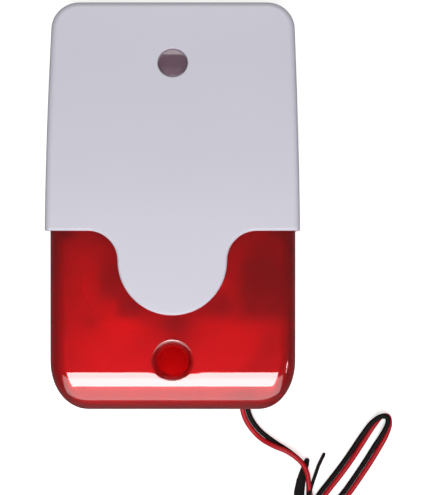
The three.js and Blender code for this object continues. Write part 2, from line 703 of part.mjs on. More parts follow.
function makeLens() {
  const outside = formSolid(CASE_FORM, frontLevels(COVER_EDGE, 0, LENS_EDGE, lensFront));
  const innerEdge = LENS_EDGE - CASE_WALL;
  const innerFront = (y) => lensFront(y) - LENS_FRONT;
  const inside = formSolid(CASE_FORM, frontLevels(COVER_EDGE - CUT, CASE_WALL, innerEdge, innerFront));
  const well = post(0, WELL_Y, WELL_R, WELL_BASE, LENS_Z - LENS_FRONT / 2, 24);
  const mouth = WELL_R * 0.96;
  const bore = turned([
    [0, WELL_SEAT], [WELL_BORE_R, WELL_SEAT], [WELL_BORE_R, LENS_Z - WELL_LIP],
    [mouth, LENS_Z], [mouth + CUT, LENS_Z + CUT], [0, LENS_Z + CUT],
  ], 24);
  bore.translate(0, WELL_Y, 0);
  const seatHole = post(0, WELL_Y, COVER_SCREW_R + COVER_HOLE_FIT, WELL_BASE - CUT, WELL_SEAT + CUT);
  const back = HOOD_FRONT + GAP + LENS_FRONT * 3;
  const windowR = WINDOW_FLANGE_R + WINDOW_SEAT_FIT;
  const windowHole = atWindow(turned([[0, -back], [windowR, -back], [windowR, CUT], [0, CUT]]));
  let lens = cut(outside, inside).add(well);
  lens = cut(lens, dishCut(), solidOf(bore), seatHole, windowHole, ...louvreCuts(GAP));
  add('lens', LENS_RED, unite(lens, hookSolid(-HINGE_X), hookSolid(HINGE_X)));
}

// Everything above the lip, with the tongue that reaches down over the lens.
function hoodRegion() {
  const shape = new THREE.Shape();
  const edge = WIDTH / 2 + CUT;
  const arcY = LIP - SHOULDER_R;
  const arcX = TONGUE_R + SHOULDER_R;
  shape.moveTo(edge, TOP + CUT);
  shape.lineTo(-edge, TOP + CUT);
  shape.lineTo(-edge, LIP);
  shape.absarc(-arcX, arcY, SHOULDER_R, Math.PI / 2, 0, true);
  shape.absarc(0, arcY, TONGUE_R, Math.PI, Math.PI * 2, false);
  shape.absarc(arcX, arcY, SHOULDER_R, Math.PI, Math.PI / 2, true);
  shape.lineTo(edge, LIP);
  return prism(shape, -CUT, DEPTH + CUT, 12);
}

function makeHood() {
  const outside = formSolid(HOOD_FORM, frontLevels(SKIRT_EDGE, 0, HOOD_EDGE, hoodFront));
  const innerEdge = HOOD_EDGE - HOOD_WALL;
  const innerFront = (y) => hoodFront(y) - HOOD_FRONT;
  const inside = formSolid(HOOD_FORM, frontLevels(SKIRT_EDGE - CUT, HOOD_WALL, innerEdge, innerFront));
  const holeR = WINDOW_R + WINDOW_FIT;
  const rimR = holeR + WINDOW_CHAMFER;
  const hole = atWindow(turned([
    [0, -HOOD_FRONT * 2], [holeR, -HOOD_FRONT * 2], [holeR, -WINDOW_CHAMFER],
    [rimR, 0], [rimR, CUT], [0, CUT],
  ]));
  const shell = cut(outside, inside).intersect(hoodRegion());
  add('hood', WHITE, cut(shell, hole, ...louvreCuts(0)));
}

function makeWindow() {
  const seat = -HOOD_FRONT - GAP;
  const back = seat - WINDOW_FLANGE;
  const face = -WINDOW_RECESS;
  add('indicator_window', MAUVE, atWindow(turned([
    [0, back], [WINDOW_FLANGE_R, back], [WINDOW_FLANGE_R, seat], [WINDOW_R, seat],
    [WINDOW_R, face - 0.2], [WINDOW_R - 0.2, face], [0, face + 0.1],
  ])));
}

function makeBaffle() {
  const top = lensFront(LIP + BAFFLE_ABOVE_LIP) - LENS_FRONT - GAP;
  const low = top - BAFFLE_THICK;
  const half = halfWidthAt(LIP + BAFFLE_ABOVE_LIP, CASE_HALF) - LENS_EDGE;
  const lugOut = CASE_HALF - CASE_WALL - GAP;
  const plate = box([-half, LIP, low], [half, LIP + BAFFLE_ABOVE_LIP, top]);
  const webLow = [-half, LIP + BAFFLE_ABOVE_LIP - BAFFLE_THICK, top - BAFFLE_WEB];
  const web = box(webLow, [half, LIP + BAFFLE_ABOVE_LIP, top]);
  const lugFoot = low - BAFFLE_LUG_DROP;
  const lugs = [-1, 1].flatMap((side) => {
    const x = spread(side, lugOut - BAFFLE_LUG_WIDTH, lugOut);
    const neck = spread(side, lugOut - BAFFLE_LUG_WIDTH, lugOut - BAFFLE_LUG_WIDTH + BAFFLE_NECK);
    return [
      box([x[0], LIP - BAFFLE_LUG, lugFoot], [x[1], LIP + BAFFLE_NECK, lugFoot + BAFFLE_LUG_THICK]),
      box([neck[0], LIP, lugFoot], [neck[1], LIP + BAFFLE_NECK, top]),
    ];
  });
  add('light_baffle', BLACK, unite(plate, web, ...lugs));
}

function makeCoverScrew() {
  const washer = turned([
    [COVER_SCREW_R + WASHER_FIT, WASHER_Z], [WASHER_R, WASHER_Z], [WASHER_R, WASHER_Z + WASHER_THICK],
    [COVER_SCREW_R + WASHER_FIT, WASHER_Z + WASHER_THICK], [COVER_SCREW_R + WASHER_FIT, WASHER_Z],
  ], 24);
  washer.translate(0, WELL_Y, 0);
  add('screw_washer', STEEL, solidOf(washer));
  const length = COVER_HEAD_Z - BOSS_TOP + COVER_SCREW_DEPTH;
  const screw = screwSolid(0, WELL_Y, COVER_HEAD_Z, COVER_HEAD_R, COVER_HEAD_HEIGHT, COVER_SCREW_R, length);
  add('cover_screw', STEEL, screw);
  const capR = WELL_BORE_R - CAP_FIT;
  const skirtR = capR - CAP_SKIRT_WALL;
  const cap = turned([
    [0, CAP_TOP - CAP_THICK], [skirtR, CAP_TOP - CAP_THICK], [skirtR, CAP_TOP - CAP_SKIRT],
    [capR, CAP_TOP - CAP_SKIRT], [capR, CAP_TOP - 0.3], [capR - 0.3, CAP_TOP], [0, CAP_TOP],
  ], 24);
  cap.translate(0, WELL_Y, 0);
  add('screw_cap', LENS_RED, solidOf(cap));
}

// ---- Board and its parts ----
function makeBoard() {
  const outline = roundedShape(-BOARD_HALF, BOARD_HALF, BOARD_BOTTOM, BOARD_TOP, BOARD_CORNER);
  let board = prism(outline, BOARD_Z, BOARD_TOP_Z, 4);
  BOARD_SCREWS.forEach(([x, y], i) => {
    board = cut(board, post(x, y, SCREW_R + SCREW_FIT, BOARD_Z - CUT, BOARD_TOP_Z + CUT, 12));
    smallScrew(`board_screw_${i + 1}`, x, y, BOARD_TOP_Z + GAP);
  });
  add('circuit_board', BOARD, board);
}

function makeReflector() {
  const steps = 6;
  const outer = [];
  const inner = [];
  for (let i = 0; i <= steps; i += 1) {
    const share = (2 * i) / steps - 1;
    const y = REFLECTOR_Y + (share * REFLECTOR_LENGTH) / 2;
    const z = REFLECTOR_BASE + REFLECTOR_RISE * share ** 2;
    inner.push([y, z]);
    outer.unshift([y, z - REFLECTOR_THICK * (1 + share ** 2)]);
  }
  const trough = prismAlongX(shapeOf([...inner, ...outer]), -REFLECTOR_LOW_HALF, REFLECTOR_LOW_HALF);
  const low = REFLECTOR_TOP - REFLECTOR_LENGTH;
  const flare = shapeOf([
    [-REFLECTOR_TOP_HALF, REFLECTOR_TOP + CUT], [-REFLECTOR_LOW_HALF, low - CUT],
    [REFLECTOR_LOW_HALF, low - CUT], [REFLECTOR_TOP_HALF, REFLECTOR_TOP + CUT],
  ]);
  const legs = [-1, 1].map((side) => {
    const x = side * (REFLECTOR_TOP_HALF - REFLECTOR_LEG_INSET);
    return post(x, REFLECTOR_Y, REFLECTOR_LEG_R, PARTS_Z, REFLECTOR_BASE - REFLECTOR_THICK / 2, 8);
  });
  add('strobe_reflector', MIRROR, unite(trough.intersect(prism(flare, 0, DEPTH)), ...legs));
}

function makeStrobe() {
  const z = REFLECTOR_BASE + TUBE_R + TUBE_CLEARANCE;
  add('strobe_tube', GLASS, rod('x', [0, REFLECTOR_Y, z], TUBE_R, TUBE_LENGTH));
  const offset = TUBE_LENGTH / 2 + GAP + ELECTRODE_LENGTH / 2;
  [['left', -1], ['right', 1]].forEach(([name, side]) => {
    const end = rod('x', [side * offset, REFLECTOR_Y, z], ELECTRODE_R, ELECTRODE_LENGTH);
    add(`tube_end_${name}`, STEEL, end);
  });
}

// A square-cornered part between two flanges, such as a wound coil.
function bobbin(x, y, [sizeX, sizeY, height]) {
  const halfX = sizeX / 2;
  const halfY = sizeY / 2;
  const coreX = halfX - BOBBIN_LIP_X;
  const coreY = halfY - BOBBIN_LIP_Y;
  const top = PARTS_Z + height;
  return unite(
    box([x - coreX, y - coreY, PARTS_Z], [x + coreX, y + coreY, top]),
    box([x - halfX, y - halfY, PARTS_Z], [x + halfX, y + halfY, PARTS_Z + BOBBIN_FLANGE]),
    box([x - halfX, y - halfY, top - BOBBIN_FLANGE], [x + halfX, y + halfY, top]),
  );
}

// The flash capacitor lies on its side, with a crimped groove near its lower end.
function makeFlashCapacitor() {
  const centre = [BOARD_HALF - CAN_R + CAN_OVERHANG, LIP - CAN_BELOW_LIP, PARTS_Z + CAN_R];
  const rimAway = CAN_SLEEVE / 2 + BOBBIN_FLANGE;
  const rim = [centre[0], centre[1] - rimAway, centre[2]];
  add('flash_capacitor', BLACK, unite(
    rod('y', centre, CAN_R, CAN_SLEEVE, 20),
    rod('y', rim, CAN_R - CAN_CRIMP / 2, BOBBIN_FLANGE, 20),
    rod('y', centre, CAN_R - CAN_CRIMP, CAN_LENGTH, 20),
  ));
}

function makeTransistor() {
  const low = WELL_Y + TRANSISTOR_ABOVE_WELL;
  const high = low + TRANSISTOR_FLAT;
  const middle = (low + high) / 2;
  const top = PARTS_Z + TRANSISTOR_HEIGHT;
  const flat = box([-TRANSISTOR_HALF, low, PARTS_Z], [TRANSISTOR_HALF, high, top]);
  add('driver_transistor', BLACK, flat.add(post(0, middle, TRANSISTOR_R, PARTS_Z, top - BITE)));
}

function makePowerParts() {
  const coilX = -BOARD_HALF + COIL_FROM_EDGE;
  add('trigger_coil', BROWN, bobbin(coilX, LIP - COIL_BELOW_LIP, COIL_SIZE));
  const left = -BOARD_HALF + TRANSFORMER_FROM_EDGE;
  const right = RESISTOR_X[0] - RESISTOR_CAP_R - TRANSFORMER_FROM_RESISTOR;
  const transformerY = BOARD_BOTTOM + TRANSFORMER_ABOVE_BOTTOM;
  const size = [right - left, TRANSFORMER_LENGTH, TRANSFORMER_HEIGHT];
  add('transformer', YELLOW, bobbin((left + right) / 2, transformerY, size));
  makeFlashCapacitor();
  makeTransistor();
  const smallCanY = BOARD_BOTTOM + SMALL_CAN_ABOVE_BOTTOM;
  const smallCan = post(SMALL_CAN_X, smallCanY, SMALL_CAN_R, PARTS_Z, PARTS_Z + SMALL_CAN_HEIGHT);
  add('storage_capacitor', BEIGE, smallCan);
}

function makeResistors() {
  const y = BOARD_BOTTOM + RESISTOR_ABOVE_BOTTOM;
  const z = PARTS_Z + RESISTOR_CAP_R;
  const capAway = (RESISTOR_LENGTH - RESISTOR_CAP) / 2;
  const legAway = (RESISTOR_LENGTH + RESISTOR_CAP) / 2;
  RESISTOR_X.forEach((x, i) => {
    const body = rod('y', [x, y, z], RESISTOR_R, RESISTOR_LENGTH - RESISTOR_CAP / 2, 12);
    const ends = [-1, 1].flatMap((side) => [
      rod('y', [x, y + side * capAway, z], RESISTOR_CAP_R, RESISTOR_CAP, 12),
      rod('y', [x, y + side * legAway, z], RESISTOR_LEG_R, RESISTOR_LEG, 8),
    ]);
    add(`resistor_${i + 1}`, BEIGE, unite(body, ...ends));
  });
}

// ---- Sounder ----
function ring(outer, inner, low, high, sides = 32) {
  const geometry = turned([[inner, low], [outer, low], [outer, high], [inner, high], [inner, low]], sides);
  geometry.translate(0, SOUNDER_Y, 0);
  return solidOf(geometry);
}

function ringScrewPlace(i) {
  const turn = Math.PI / 2 + (i * Math.PI * 2) / RING_SCREWS;
  const reach = SOUNDER_R - SOUNDER_WALL / 2;
  return [reach * Math.cos(turn), SOUNDER_Y + reach * Math.sin(turn)];
}

// One ear of the housing: a tab round its screw and an arm that runs into the housing's wall.
function sounderEar(x, y, low, high) {
  const inner = SOUNDER_R - SOUNDER_WALL + 1;
  const arm = new THREE.BoxGeometry(EAR_OUT - inner, EAR_R * 2, high - low);
  arm.translate((EAR_OUT + inner) / 2, 0, (low + high) / 2);
  arm.rotateZ(Math.atan2(y - SOUNDER_Y, x));
  arm.translate(0, SOUNDER_Y, 0);
  const room = post(0, SOUNDER_Y, SOUNDER_R - SOUNDER_WALL / 2, low - CUT, high + CUT, 32);
  return cut(solidOf(arm), room).add(post(x, y, EAR_R, low, high));
}

function sounderCup() {
  const ledgeZ = SOUNDER_LEDGE_Z;
  const bore = SOUNDER_R - SOUNDER_WALL;
  const cup = post(0, SOUNDER_Y, SOUNDER_R, SOUNDER_Z, SOUNDER_TOP, 32);
  const hollow = post(0, SOUNDER_Y, bore, ledgeZ, SOUNDER_TOP + CUT, 32);
  const under = post(0, SOUNDER_Y, bore - SOUNDER_LEDGE, SOUNDER_Z + SOUNDER_FLOOR, ledgeZ + CUT, 32);
  const reach = SOUNDER_R + CUT;
  const portLow = [-reach, SOUNDER_Y - SOUNDER_PORT / 2, ledgeZ + SOUNDER_PORT_FOOT];
  const portHigh = [reach, SOUNDER_Y + SOUNDER_PORT / 2, SOUNDER_TOP - SOUNDER_PORT_HEAD];
  return cut(cup, hollow, under, box(portLow, portHigh));
}

function makeSounder() {
  let housing = sounderCup();
  const earLow = SOUNDER_Z + SOUNDER_POST_RISE + GAP;
  const earHigh = earLow + EAR_THICK;
  SOUNDER_SCREWS.forEach(([x, y], i) => {
    const hole = post(x, y, SCREW_R + SCREW_FIT, earLow - CUT, earHigh + CUT, 12);
    housing = cut(housing.add(sounderEar(x, y, earLow, earHigh)), hole);
    smallScrew(`sounder_screw_${i + 1}`, x, y, earHigh + GAP);
  });
  const ringLow = SOUNDER_TOP + GAP;
  const ringHigh = ringLow + RING_THICK;
  let plate = ring(SOUNDER_R, RING_MOUTH_R, ringLow, ringHigh);
  for (let i = 0; i < RING_SCREWS; i += 1) {
    const [x, y] = ringScrewPlace(i);
    const hole = post(x, y, SCREW_R + SCREW_FIT, SOUNDER_TOP - SCREW_LENGTH, ringHigh + CUT, 12);
    housing = cut(housing, hole);
    plate = cut(plate, hole);
    smallScrew(`ring_screw_${i + 1}`, x, y, ringHigh + GAP);
  }
  add('sounder_housing', BLACK, housing);
  add('sounder_ring', BLACK, plate);
  const discZ = SOUNDER_LEDGE_Z + GAP;
  const discR = SOUNDER_R - SOUNDER_WALL - GAP;
  add('sounder_diaphragm', BRASS, post(0, SOUNDER_Y, discR, discZ, discZ + DIAPHRAGM_THICK, 32));
  const piezoZ = discZ + DIAPHRAGM_THICK + GAP;
  add('piezo_disc', CERAMIC, post(0, SOUNDER_Y, PIEZO_R, piezoZ, piezoZ + PIEZO_THICK, 20));
}

// ---- Indicator ----
function makeIndicator() {
  const top = LED_BOARD_Z + LED_BOARD_THICK;
  const left = LED_POST_X - LED_BOARD_RIM;
  const right = LED_X + LED_BOARD_RIM;
  const outline = roundedShape(left, right, LED_Y - LED_BOARD_RIM, LED_Y + LED_BOARD_RIM, 1);
  const hole = post(...LED_POST, SCREW_R + SCREW_FIT, LED_BOARD_Z - CUT, top + CUT, 12);
  add('indicator_board', BOARD, cut(prism(outline, LED_BOARD_Z, top, 4), hole));
  smallScrew('indicator_screw', ...LED_POST, top + GAP);
  const foot = top + GAP;
  const led = turned([
    [0, foot], [LED_R + LED_RIM, foot], [LED_R + LED_RIM, foot + 1], [LED_R, foot + 1],
    [LED_R, foot + LED_HEIGHT - LED_R], [LED_R * 0.87, foot + LED_HEIGHT - LED_R / 2],
    [LED_R / 2, foot + LED_HEIGHT - LED_R * 0.13], [0, foot + LED_HEIGHT],
  ], 20);
  led.translate(LED_X, LED_Y, 0);
  add('indicator_led', LED_CLEAR, solidOf(led));
}

// ---- Wires ----
function sectionShape(radius, sides) {
  const points = [];
  for (let i = 0; i < sides; i += 1) {
    const turn = ((i + 0.5) / sides) * Math.PI * 2;
    points.push([radius * Math.cos(turn), radius * Math.sin(turn)]);
  }
  return shapeOf(points);
}

function tubeAlong(points, radius, step) {
  const path = new THREE.CatmullRomCurve3(points, false, 'centripetal');
  const steps = Math.max(4, Math.round(path.getLength() / step));
  const options = { steps, extrudePath: path, bevelEnabled: false };
  return solidOf(new THREE.ExtrudeGeometry(sectionShape(radius, WIRE_SIDES), options));
}

// One wire of a pair: side 1 is the red wire, side -1 the black one.
function wirePoints(route, side) {
  const centre = route.map(([x, y, z]) => new THREE.Vector3(x, y, z));
  return centre.map((point, i) => {
    const before = centre[Math.max(0, i - 1)];
    const after = centre[Math.min(centre.length - 1, i + 1)];
    const ahead = after.clone().sub(before).setZ(0).normalize();
    const turn = THREE.MathUtils.degToRad(route[i][3]);
    const left = new THREE.Vector3(-ahead.y, ahead.x, 0).multiplyScalar(Math.cos(turn));
    const offset = left.setZ(Math.sin(turn)).multiplyScalar(side * PAIR_OFFSET);
    return point.clone().add(offset);
  });
}

function makeSupplyWires() {
  [['red', WIRE_RED, 1], ['black', WIRE_BLACK, -1]].forEach(([name, look, side]) => {
    add(`wire_${name}`, look, tubeAlong(wirePoints(SUPPLY_ROUTE, side), WIRE_R, WIRE_STEP));
    add(`inner_lead_${name}`, look, tubeAlong(wirePoints(INNER_ROUTE, side), WIRE_R, WIRE_STEP));
  });
}

function pointsOf(places) {
  return places.map((place) => new THREE.Vector3(...place));
}

// Thin leads from the board up and over to the sounder's wall, and the indicator's cable round the sounder.
function makeThinLeads() {
  [['red', WIRE_RED], ['black', WIRE_BLACK]].forEach(([name, look], i) => {
    const x = SOUNDER_LEAD_X[i];
    const wall = SOUNDER_Y - Math.sqrt(SOUNDER_R ** 2 - x ** 2) - GAP;
    const foot = BOARD_TOP - LEAD_FROM_EDGE;
    const top = PARTS_Z + SOUNDER_LEAD_RISE;
    const points = pointsOf([
      [x, foot, PARTS_Z], [x, foot, top - LEAD_BEND], [x, foot + LEAD_BEND, top], [x, wall, top],
    ]);
    add(`sounder_lead_${name}`, look, tubeAlong(points, LEAD_R, LEAD_R * 3));
  });
  const side = -CASE_HALF + CASE_WALL + CABLE_FROM_WALL;
  const low = TRAY_FLOOR + CABLE_LIFT;
  const points = pointsOf([
    [LED_POST_X + 6, LED_Y + 2, LED_BOARD_Z - GAP], [LED_POST_X + 5, LED_Y + 3, LED_BOARD_Z - 6],
    [LED_POST_X + 2, LED_Y + 4, low + 5], [LED_POST_X - 3, LED_Y + 2.5, low + 0.4],
    [LED_POST_X - 11.5, LED_Y - 6, low], [side + 2.9, SOUNDER_Y + 15, low], [side, SOUNDER_Y + 8, low],
    [side, SOUNDER_Y - 8, low], [side + 1, LIP + 3, low],
    [side + 2, BOARD_TOP - LEAD_FROM_EDGE, BOARD_Z - LEAD_R - GAP],
  ]);
  add('indicator_cable', WIRE_BLACK, tubeAlong(points, LEAD_R, LEAD_R * 8));
}

// The folded hank that the pair ends in, with its tie.
function hankFrame() {
  const tip = new THREE.Vector2(...HANK_TIP);
  const tail = new THREE.Vector2(...HANK_TAIL);
  const along = tail.clone().sub(tip);
  return { tip, length: along.length(), turn: along.angle() };
}

function inHank(geometry) {
  const { tip, turn } = hankFrame();
  geometry.rotateZ(turn);
  geometry.translate(tip.x, tip.y, 0);
  return solidOf(geometry);
}

function makeHank() {
  const { length, tip, turn } = hankFrame();
  const half = HANK_HALF_WIDTH;
  const outline = roundedShape(0, length, -half, half, half - 0.01);
  const options = { depth: HANK_HEIGHT, bevelEnabled: false, curveSegments: 8 };
  const hank = new THREE.ExtrudeGeometry(outline, options);
  hank.translate(0, 0, HANK_BASE);
  add('wire_hank', WIRE_RED, inHank(hank));
  const inner = half + GAP;
  const outer = inner + TIE_THICK;
  const low = HANK_BASE - GAP - TIE_THICK;
  const high = HANK_BASE + HANK_HEIGHT + GAP + TIE_THICK;
  const band = new THREE.BoxGeometry(TIE_WIDTH, outer * 2, high - low);
  band.translate(TIE_FROM_TIP, 0, (low + high) / 2);
  const room = new THREE.BoxGeometry(TIE_WIDTH + 2 * CUT, inner * 2, high - low - TIE_THICK * 2);
  room.translate(TIE_FROM_TIP, 0, (low + high) / 2);
  const knotPlace = new THREE.Vector2(TIE_FROM_TIP, -inner);
  const knot = knotPlace.rotateAround(new THREE.Vector2(), turn).add(tip);
  const tails = TIE_TAILS.map(([x, y]) => {
    const reach = new THREE.Vector2(x, y).sub(knot);
    const tail = new THREE.BoxGeometry(reach.length(), TIE_TAIL_WIDTH, TIE_THICK);
    tail.translate(reach.length() / 2, 0, 0);
    tail.rotateZ(reach.angle());
    tail.translate(knot.x, knot.y, high - TIE_THICK / 2);
    return solidOf(tail);
  });
  add('wire_tie', RUBBER, cut(inHank(band), inHank(room)).add(unite(...tails)));
}

makeTray();
makeGrommet();
makeLens();
makeHood();
makeWindow();
makeBaffle();
makeCoverScrew();
makeBoard();
makeReflector();
makeStrobe();
makePowerParts();
makeResistors();
makeSounder();
makeIndicator();
makeSupplyWires();
makeThinLeads();
makeHank();

export default siren;
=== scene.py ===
"""Wired alarm siren with a strobe, lying on its back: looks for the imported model."""
import json
import math
from functools import cache
import bmesh
import bpy
from mathutils import Matrix, Vector

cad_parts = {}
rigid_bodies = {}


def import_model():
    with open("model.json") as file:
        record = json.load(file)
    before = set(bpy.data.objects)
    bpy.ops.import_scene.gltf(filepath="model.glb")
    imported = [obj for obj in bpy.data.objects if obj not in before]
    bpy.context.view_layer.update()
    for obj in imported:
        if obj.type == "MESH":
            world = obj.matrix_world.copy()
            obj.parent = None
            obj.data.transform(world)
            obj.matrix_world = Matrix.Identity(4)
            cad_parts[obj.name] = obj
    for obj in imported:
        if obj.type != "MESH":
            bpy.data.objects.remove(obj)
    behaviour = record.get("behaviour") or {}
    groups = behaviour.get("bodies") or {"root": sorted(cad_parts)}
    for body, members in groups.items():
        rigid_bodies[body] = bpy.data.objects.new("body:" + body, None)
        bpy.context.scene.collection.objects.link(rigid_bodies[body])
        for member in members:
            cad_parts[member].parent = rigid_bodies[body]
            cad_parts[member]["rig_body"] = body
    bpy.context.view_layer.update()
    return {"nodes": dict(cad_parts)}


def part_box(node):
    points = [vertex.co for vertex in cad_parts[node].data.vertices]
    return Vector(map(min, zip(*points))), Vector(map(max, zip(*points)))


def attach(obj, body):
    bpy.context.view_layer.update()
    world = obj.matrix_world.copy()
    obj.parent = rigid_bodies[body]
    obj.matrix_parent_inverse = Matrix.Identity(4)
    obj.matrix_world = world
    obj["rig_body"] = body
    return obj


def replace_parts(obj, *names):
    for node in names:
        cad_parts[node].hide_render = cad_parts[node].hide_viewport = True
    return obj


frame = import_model()
MM = 0.001

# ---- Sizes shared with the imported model, in millimetres ----
HOOD_LOW, HOOD_HIGH = (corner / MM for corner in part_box("hood"))
LENS_LOW, LENS_HIGH = (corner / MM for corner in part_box("lens"))
CAP_LOW, CAP_HIGH = (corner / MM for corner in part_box("screw_cap"))
WIDTH = 73.0
TOP = HOOD_HIGH.y
BOTTOM = LENS_LOW.y
DEPTH = HOOD_HIGH.z
GAP = 0.3

# The hood: its lip, its half-round tongue and the fall of its front towards the top.
HOOD_LENGTH = 66.6
LIP = TOP - HOOD_LENGTH
TAPER = 1.4
TAPER_POWER = 1.3
HOOD_WALL = 0.85
HOOD_FRONT = 2.0
HOOD_FALL = 8.0
HOOD_EDGE = 2.0
HOOD_CORNER = 8.0
HOOD_FOOT_CORNER = 2.85
LIP_ROLL = 0.8
LIP_ROLL_TURN = 84
TONGUE_R = 15.65
SHOULDER_R = 8.5
SKIRT_EDGE = HOOD_LOW.z

# The louvres through both sides of the hood and the lens.
LOUVRE_MIDDLE = LIP + 20.5
LOUVRE_PITCH = 6
LOUVRE_HALF = 1
LOUVRE_LOW = 12
LOUVRE_HIGH = 24
LOUVRE_REACH = 40

# The indicator's hole in the hood and the wider one in the lens behind it.
WINDOW_Y = TOP - 18.1
WINDOW_HOLE_R = 4.25
WINDOW_HOLE_DEPTH = 4
WINDOW_CHAMFER = 0.45
WINDOW_BORE_R = 5.6
WINDOW_BORE_DEPTH = 9

# The lens: a case with a rounded chin at the bottom.
CASE_HALF = LENS_HIGH.x
CASE_TOP = LENS_HIGH.y
CASE_WALL = 2.0
CASE_CORNER = HOOD_CORNER - 1.1
LENS_FRONT = 2.2
LENS_EDGE = 4.5
LENS_CORNER_X = 11.0
LENS_CORNER_Y = 15.0
CHIN_LENGTH = 12.0
CHIN_FALL = 9.0
LENS_Z = LENS_HIGH.z
COVER_EDGE = 6.3

# The screw's well in the lens, its flared mouth, and the dish above it.
WELL_Y = (CAP_LOW.y + CAP_HIGH.y) / 2
WELL_R = 6.3
WELL_BORE_R = 4.45
WELL_SINK = 1.1
WELL_BASE = 11.8
WELL_SEAT = 13.8
MOUTH_DEPTH = 1.8
MOUTH_FLARE = 1.6
MOUTH_CURVE = 1.6
MOUTH_STEPS = 6
MOUTH_R = WELL_R * 0.98
SCREW_HOLE_R = 1.75
SCREW_HOLE_LOW, SCREW_HOLE_HIGH = 10, 15
DISH_HALF_X = 26.3
DISH_HALF_Y = 15.2
DISH_DEPTH = 0.7
DISH_Y = WELL_Y + WELL_R + DISH_HALF_Y + 0.7
DISH_SIDES = 96

# The curls that hang the lens on the tray's bars.
HOOK_PLACES = (-18, 18)
HOOK_HALF = 3
HOOK_Y = CASE_TOP - CASE_WALL / 2
HOOK_Z = 4.2
HOOK_R = 2.0
HOOK_BORE_R = 1.2
HOOK_BACK = -0.5
HOOK_ROOT = 5.0
HOOK_THROAT = 2.1
HOOK_CURL = 300

# The supply pair: the wires' size and their centres' distance from the pair's middle.
WIRE_R = 0.8
PAIR_OFFSET = 0.82
STRANDS_R = 0.45
STRANDS_LENGTH = 3.5

# The supply pair's route outside the tray, and the red wire's place round it in degrees.
SUPPLY_ROUTE = [
    (21.3, -59.8, 3.1, 180), (21.5, -62.2, 2.8, 180), (22.4, -65.2, 1.9, 180), (24.0, -67.9, 1.15, 180),
    (25.7, -69.9, 0.9, 180), (27.6, -71.5, 1.1, 165), (30.7, -73.4, 1.65, 130), (34.4, -75.3, 1.95, 100),
    (37.3, -77.3, 2.1, 90), (39.6, -79.6, 2.35, 90), (40.9, -82.6, 2.5, 90), (41.4, -86.2, 2.5, 90),
]
# The hank, as distance from its tip along it, distance to the right of its middle, height and turn.
HANK_TIP = Vector((67.0, -63.6))
HANK_TAIL = Vector((29.3, -117.6))
HANK_ALONG = (HANK_TAIL - HANK_TIP).normalized()
HANK_ACROSS = Vector((-HANK_ALONG.y, HANK_ALONG.x))
HANK_ROUTE = [
    (35.8, -5.9, 2.45, 75), (38.4, -3.2, 2.7, 45), (41.0, -1.6, 3.1, 15), (46.0, -1.4, 3.1, 20),
    (52.0, -2.4, 2.9, 50), (57.5, -3.0, 2.3, 90), (61.0, -2.4, 1.75, 90), (62.9, 0.0, 1.75, 90),
    (61.2, 2.5, 1.75, 90), (57.0, 2.4, 1.75, 120), (51.0, 0.4, 1.5, 160), (46.0, -1.2, 1.45, 180),
    (41.0, -1.8, 1.45, 180), (37.0, -2.6, 1.2, 180), (33.4, -2.8, 0.9, 180), (27.5, -2.5, 0.85, 180),
    (21.6, -2.25, 0.85, 180), (16.5, -2.3, 0.9, 185), (11.0, -2.5, 1.2, 200), (5.6, -2.5, 1.75, 225),
    (2.4, -1.6, 1.8, 262), (1.6, 0.0, 1.8, 285), (3.1, 1.4, 1.8, 300), (6.6, 2.3, 1.6, 325),
    (11.0, 2.7, 1.1, 350), (18.2, 3.1, 0.85, 360), (28.9, 3.1, 0.9, 360), (35.0, 2.4, 1.2, 360),
    (41.0, 1.9, 1.45, 360), (48.0, 2.9, 1.3, 360), (53.5, 3.1, 1.2, 360),
]

# The tie's band round the hank.
TIE_FROM_TIP = 41.0
TIE_HALF = 4.3
TIE_LOW, TIE_HIGH = 0.35, 4.3
TIE_CROWN_R = 1.5
TIE_FOOT_R = 1.0
TIE_HALF_WIDTH = 1.3
TIE_THICK = 0.5
TIE_MIDDLE_Z = 2
TIE_LIFT = 0.25

# The tie's two ends: places along each, and its width there.
TIE_END_THICK = 0.6
TIE_WIDE_END = [
    (39.6, -95.4, 0.9, 3.2), (38.4, -91.8, 0.6, 3.4), (38.5, -88.6, 0.45, 3.3), (39.1, -85.0, 0.45, 2.9),
    (39.9, -82.0, 0.45, 2.3), (40.6, -79.9, 0.5, 1.9), (41.0, -78.4, 0.6, 1.6), (41.1, -77.9, 0.65, 0.9),
]
TIE_THIN_END = [
    (39.6, -95.6, 4.3, 1.2), (41.0, -89.8, 4.3, 1.1), (42.6, -85.0, 3.2, 1.1), (44.4, -80.0, 2.4, 1.1),
    (46.1, -76.6, 2.0, 1.1), (46.4, -76.0, 2.0, 0.6),
]


# ---- Shading ----
def node_group(name, inputs, outputs):
    """An empty shader group with named value inputs and outputs."""
    group = bpy.data.node_groups.new(name, "ShaderNodeTree")
    for label, kind, value in inputs:
        socket = group.interface.new_socket(label, in_out="INPUT", socket_type=kind)
        socket.default_value = value
    for label, kind in outputs:
        group.interface.new_socket(label, in_out="OUTPUT", socket_type=kind)
    return group, group.nodes.new("NodeGroupInput"), group.nodes.new("NodeGroupOutput")


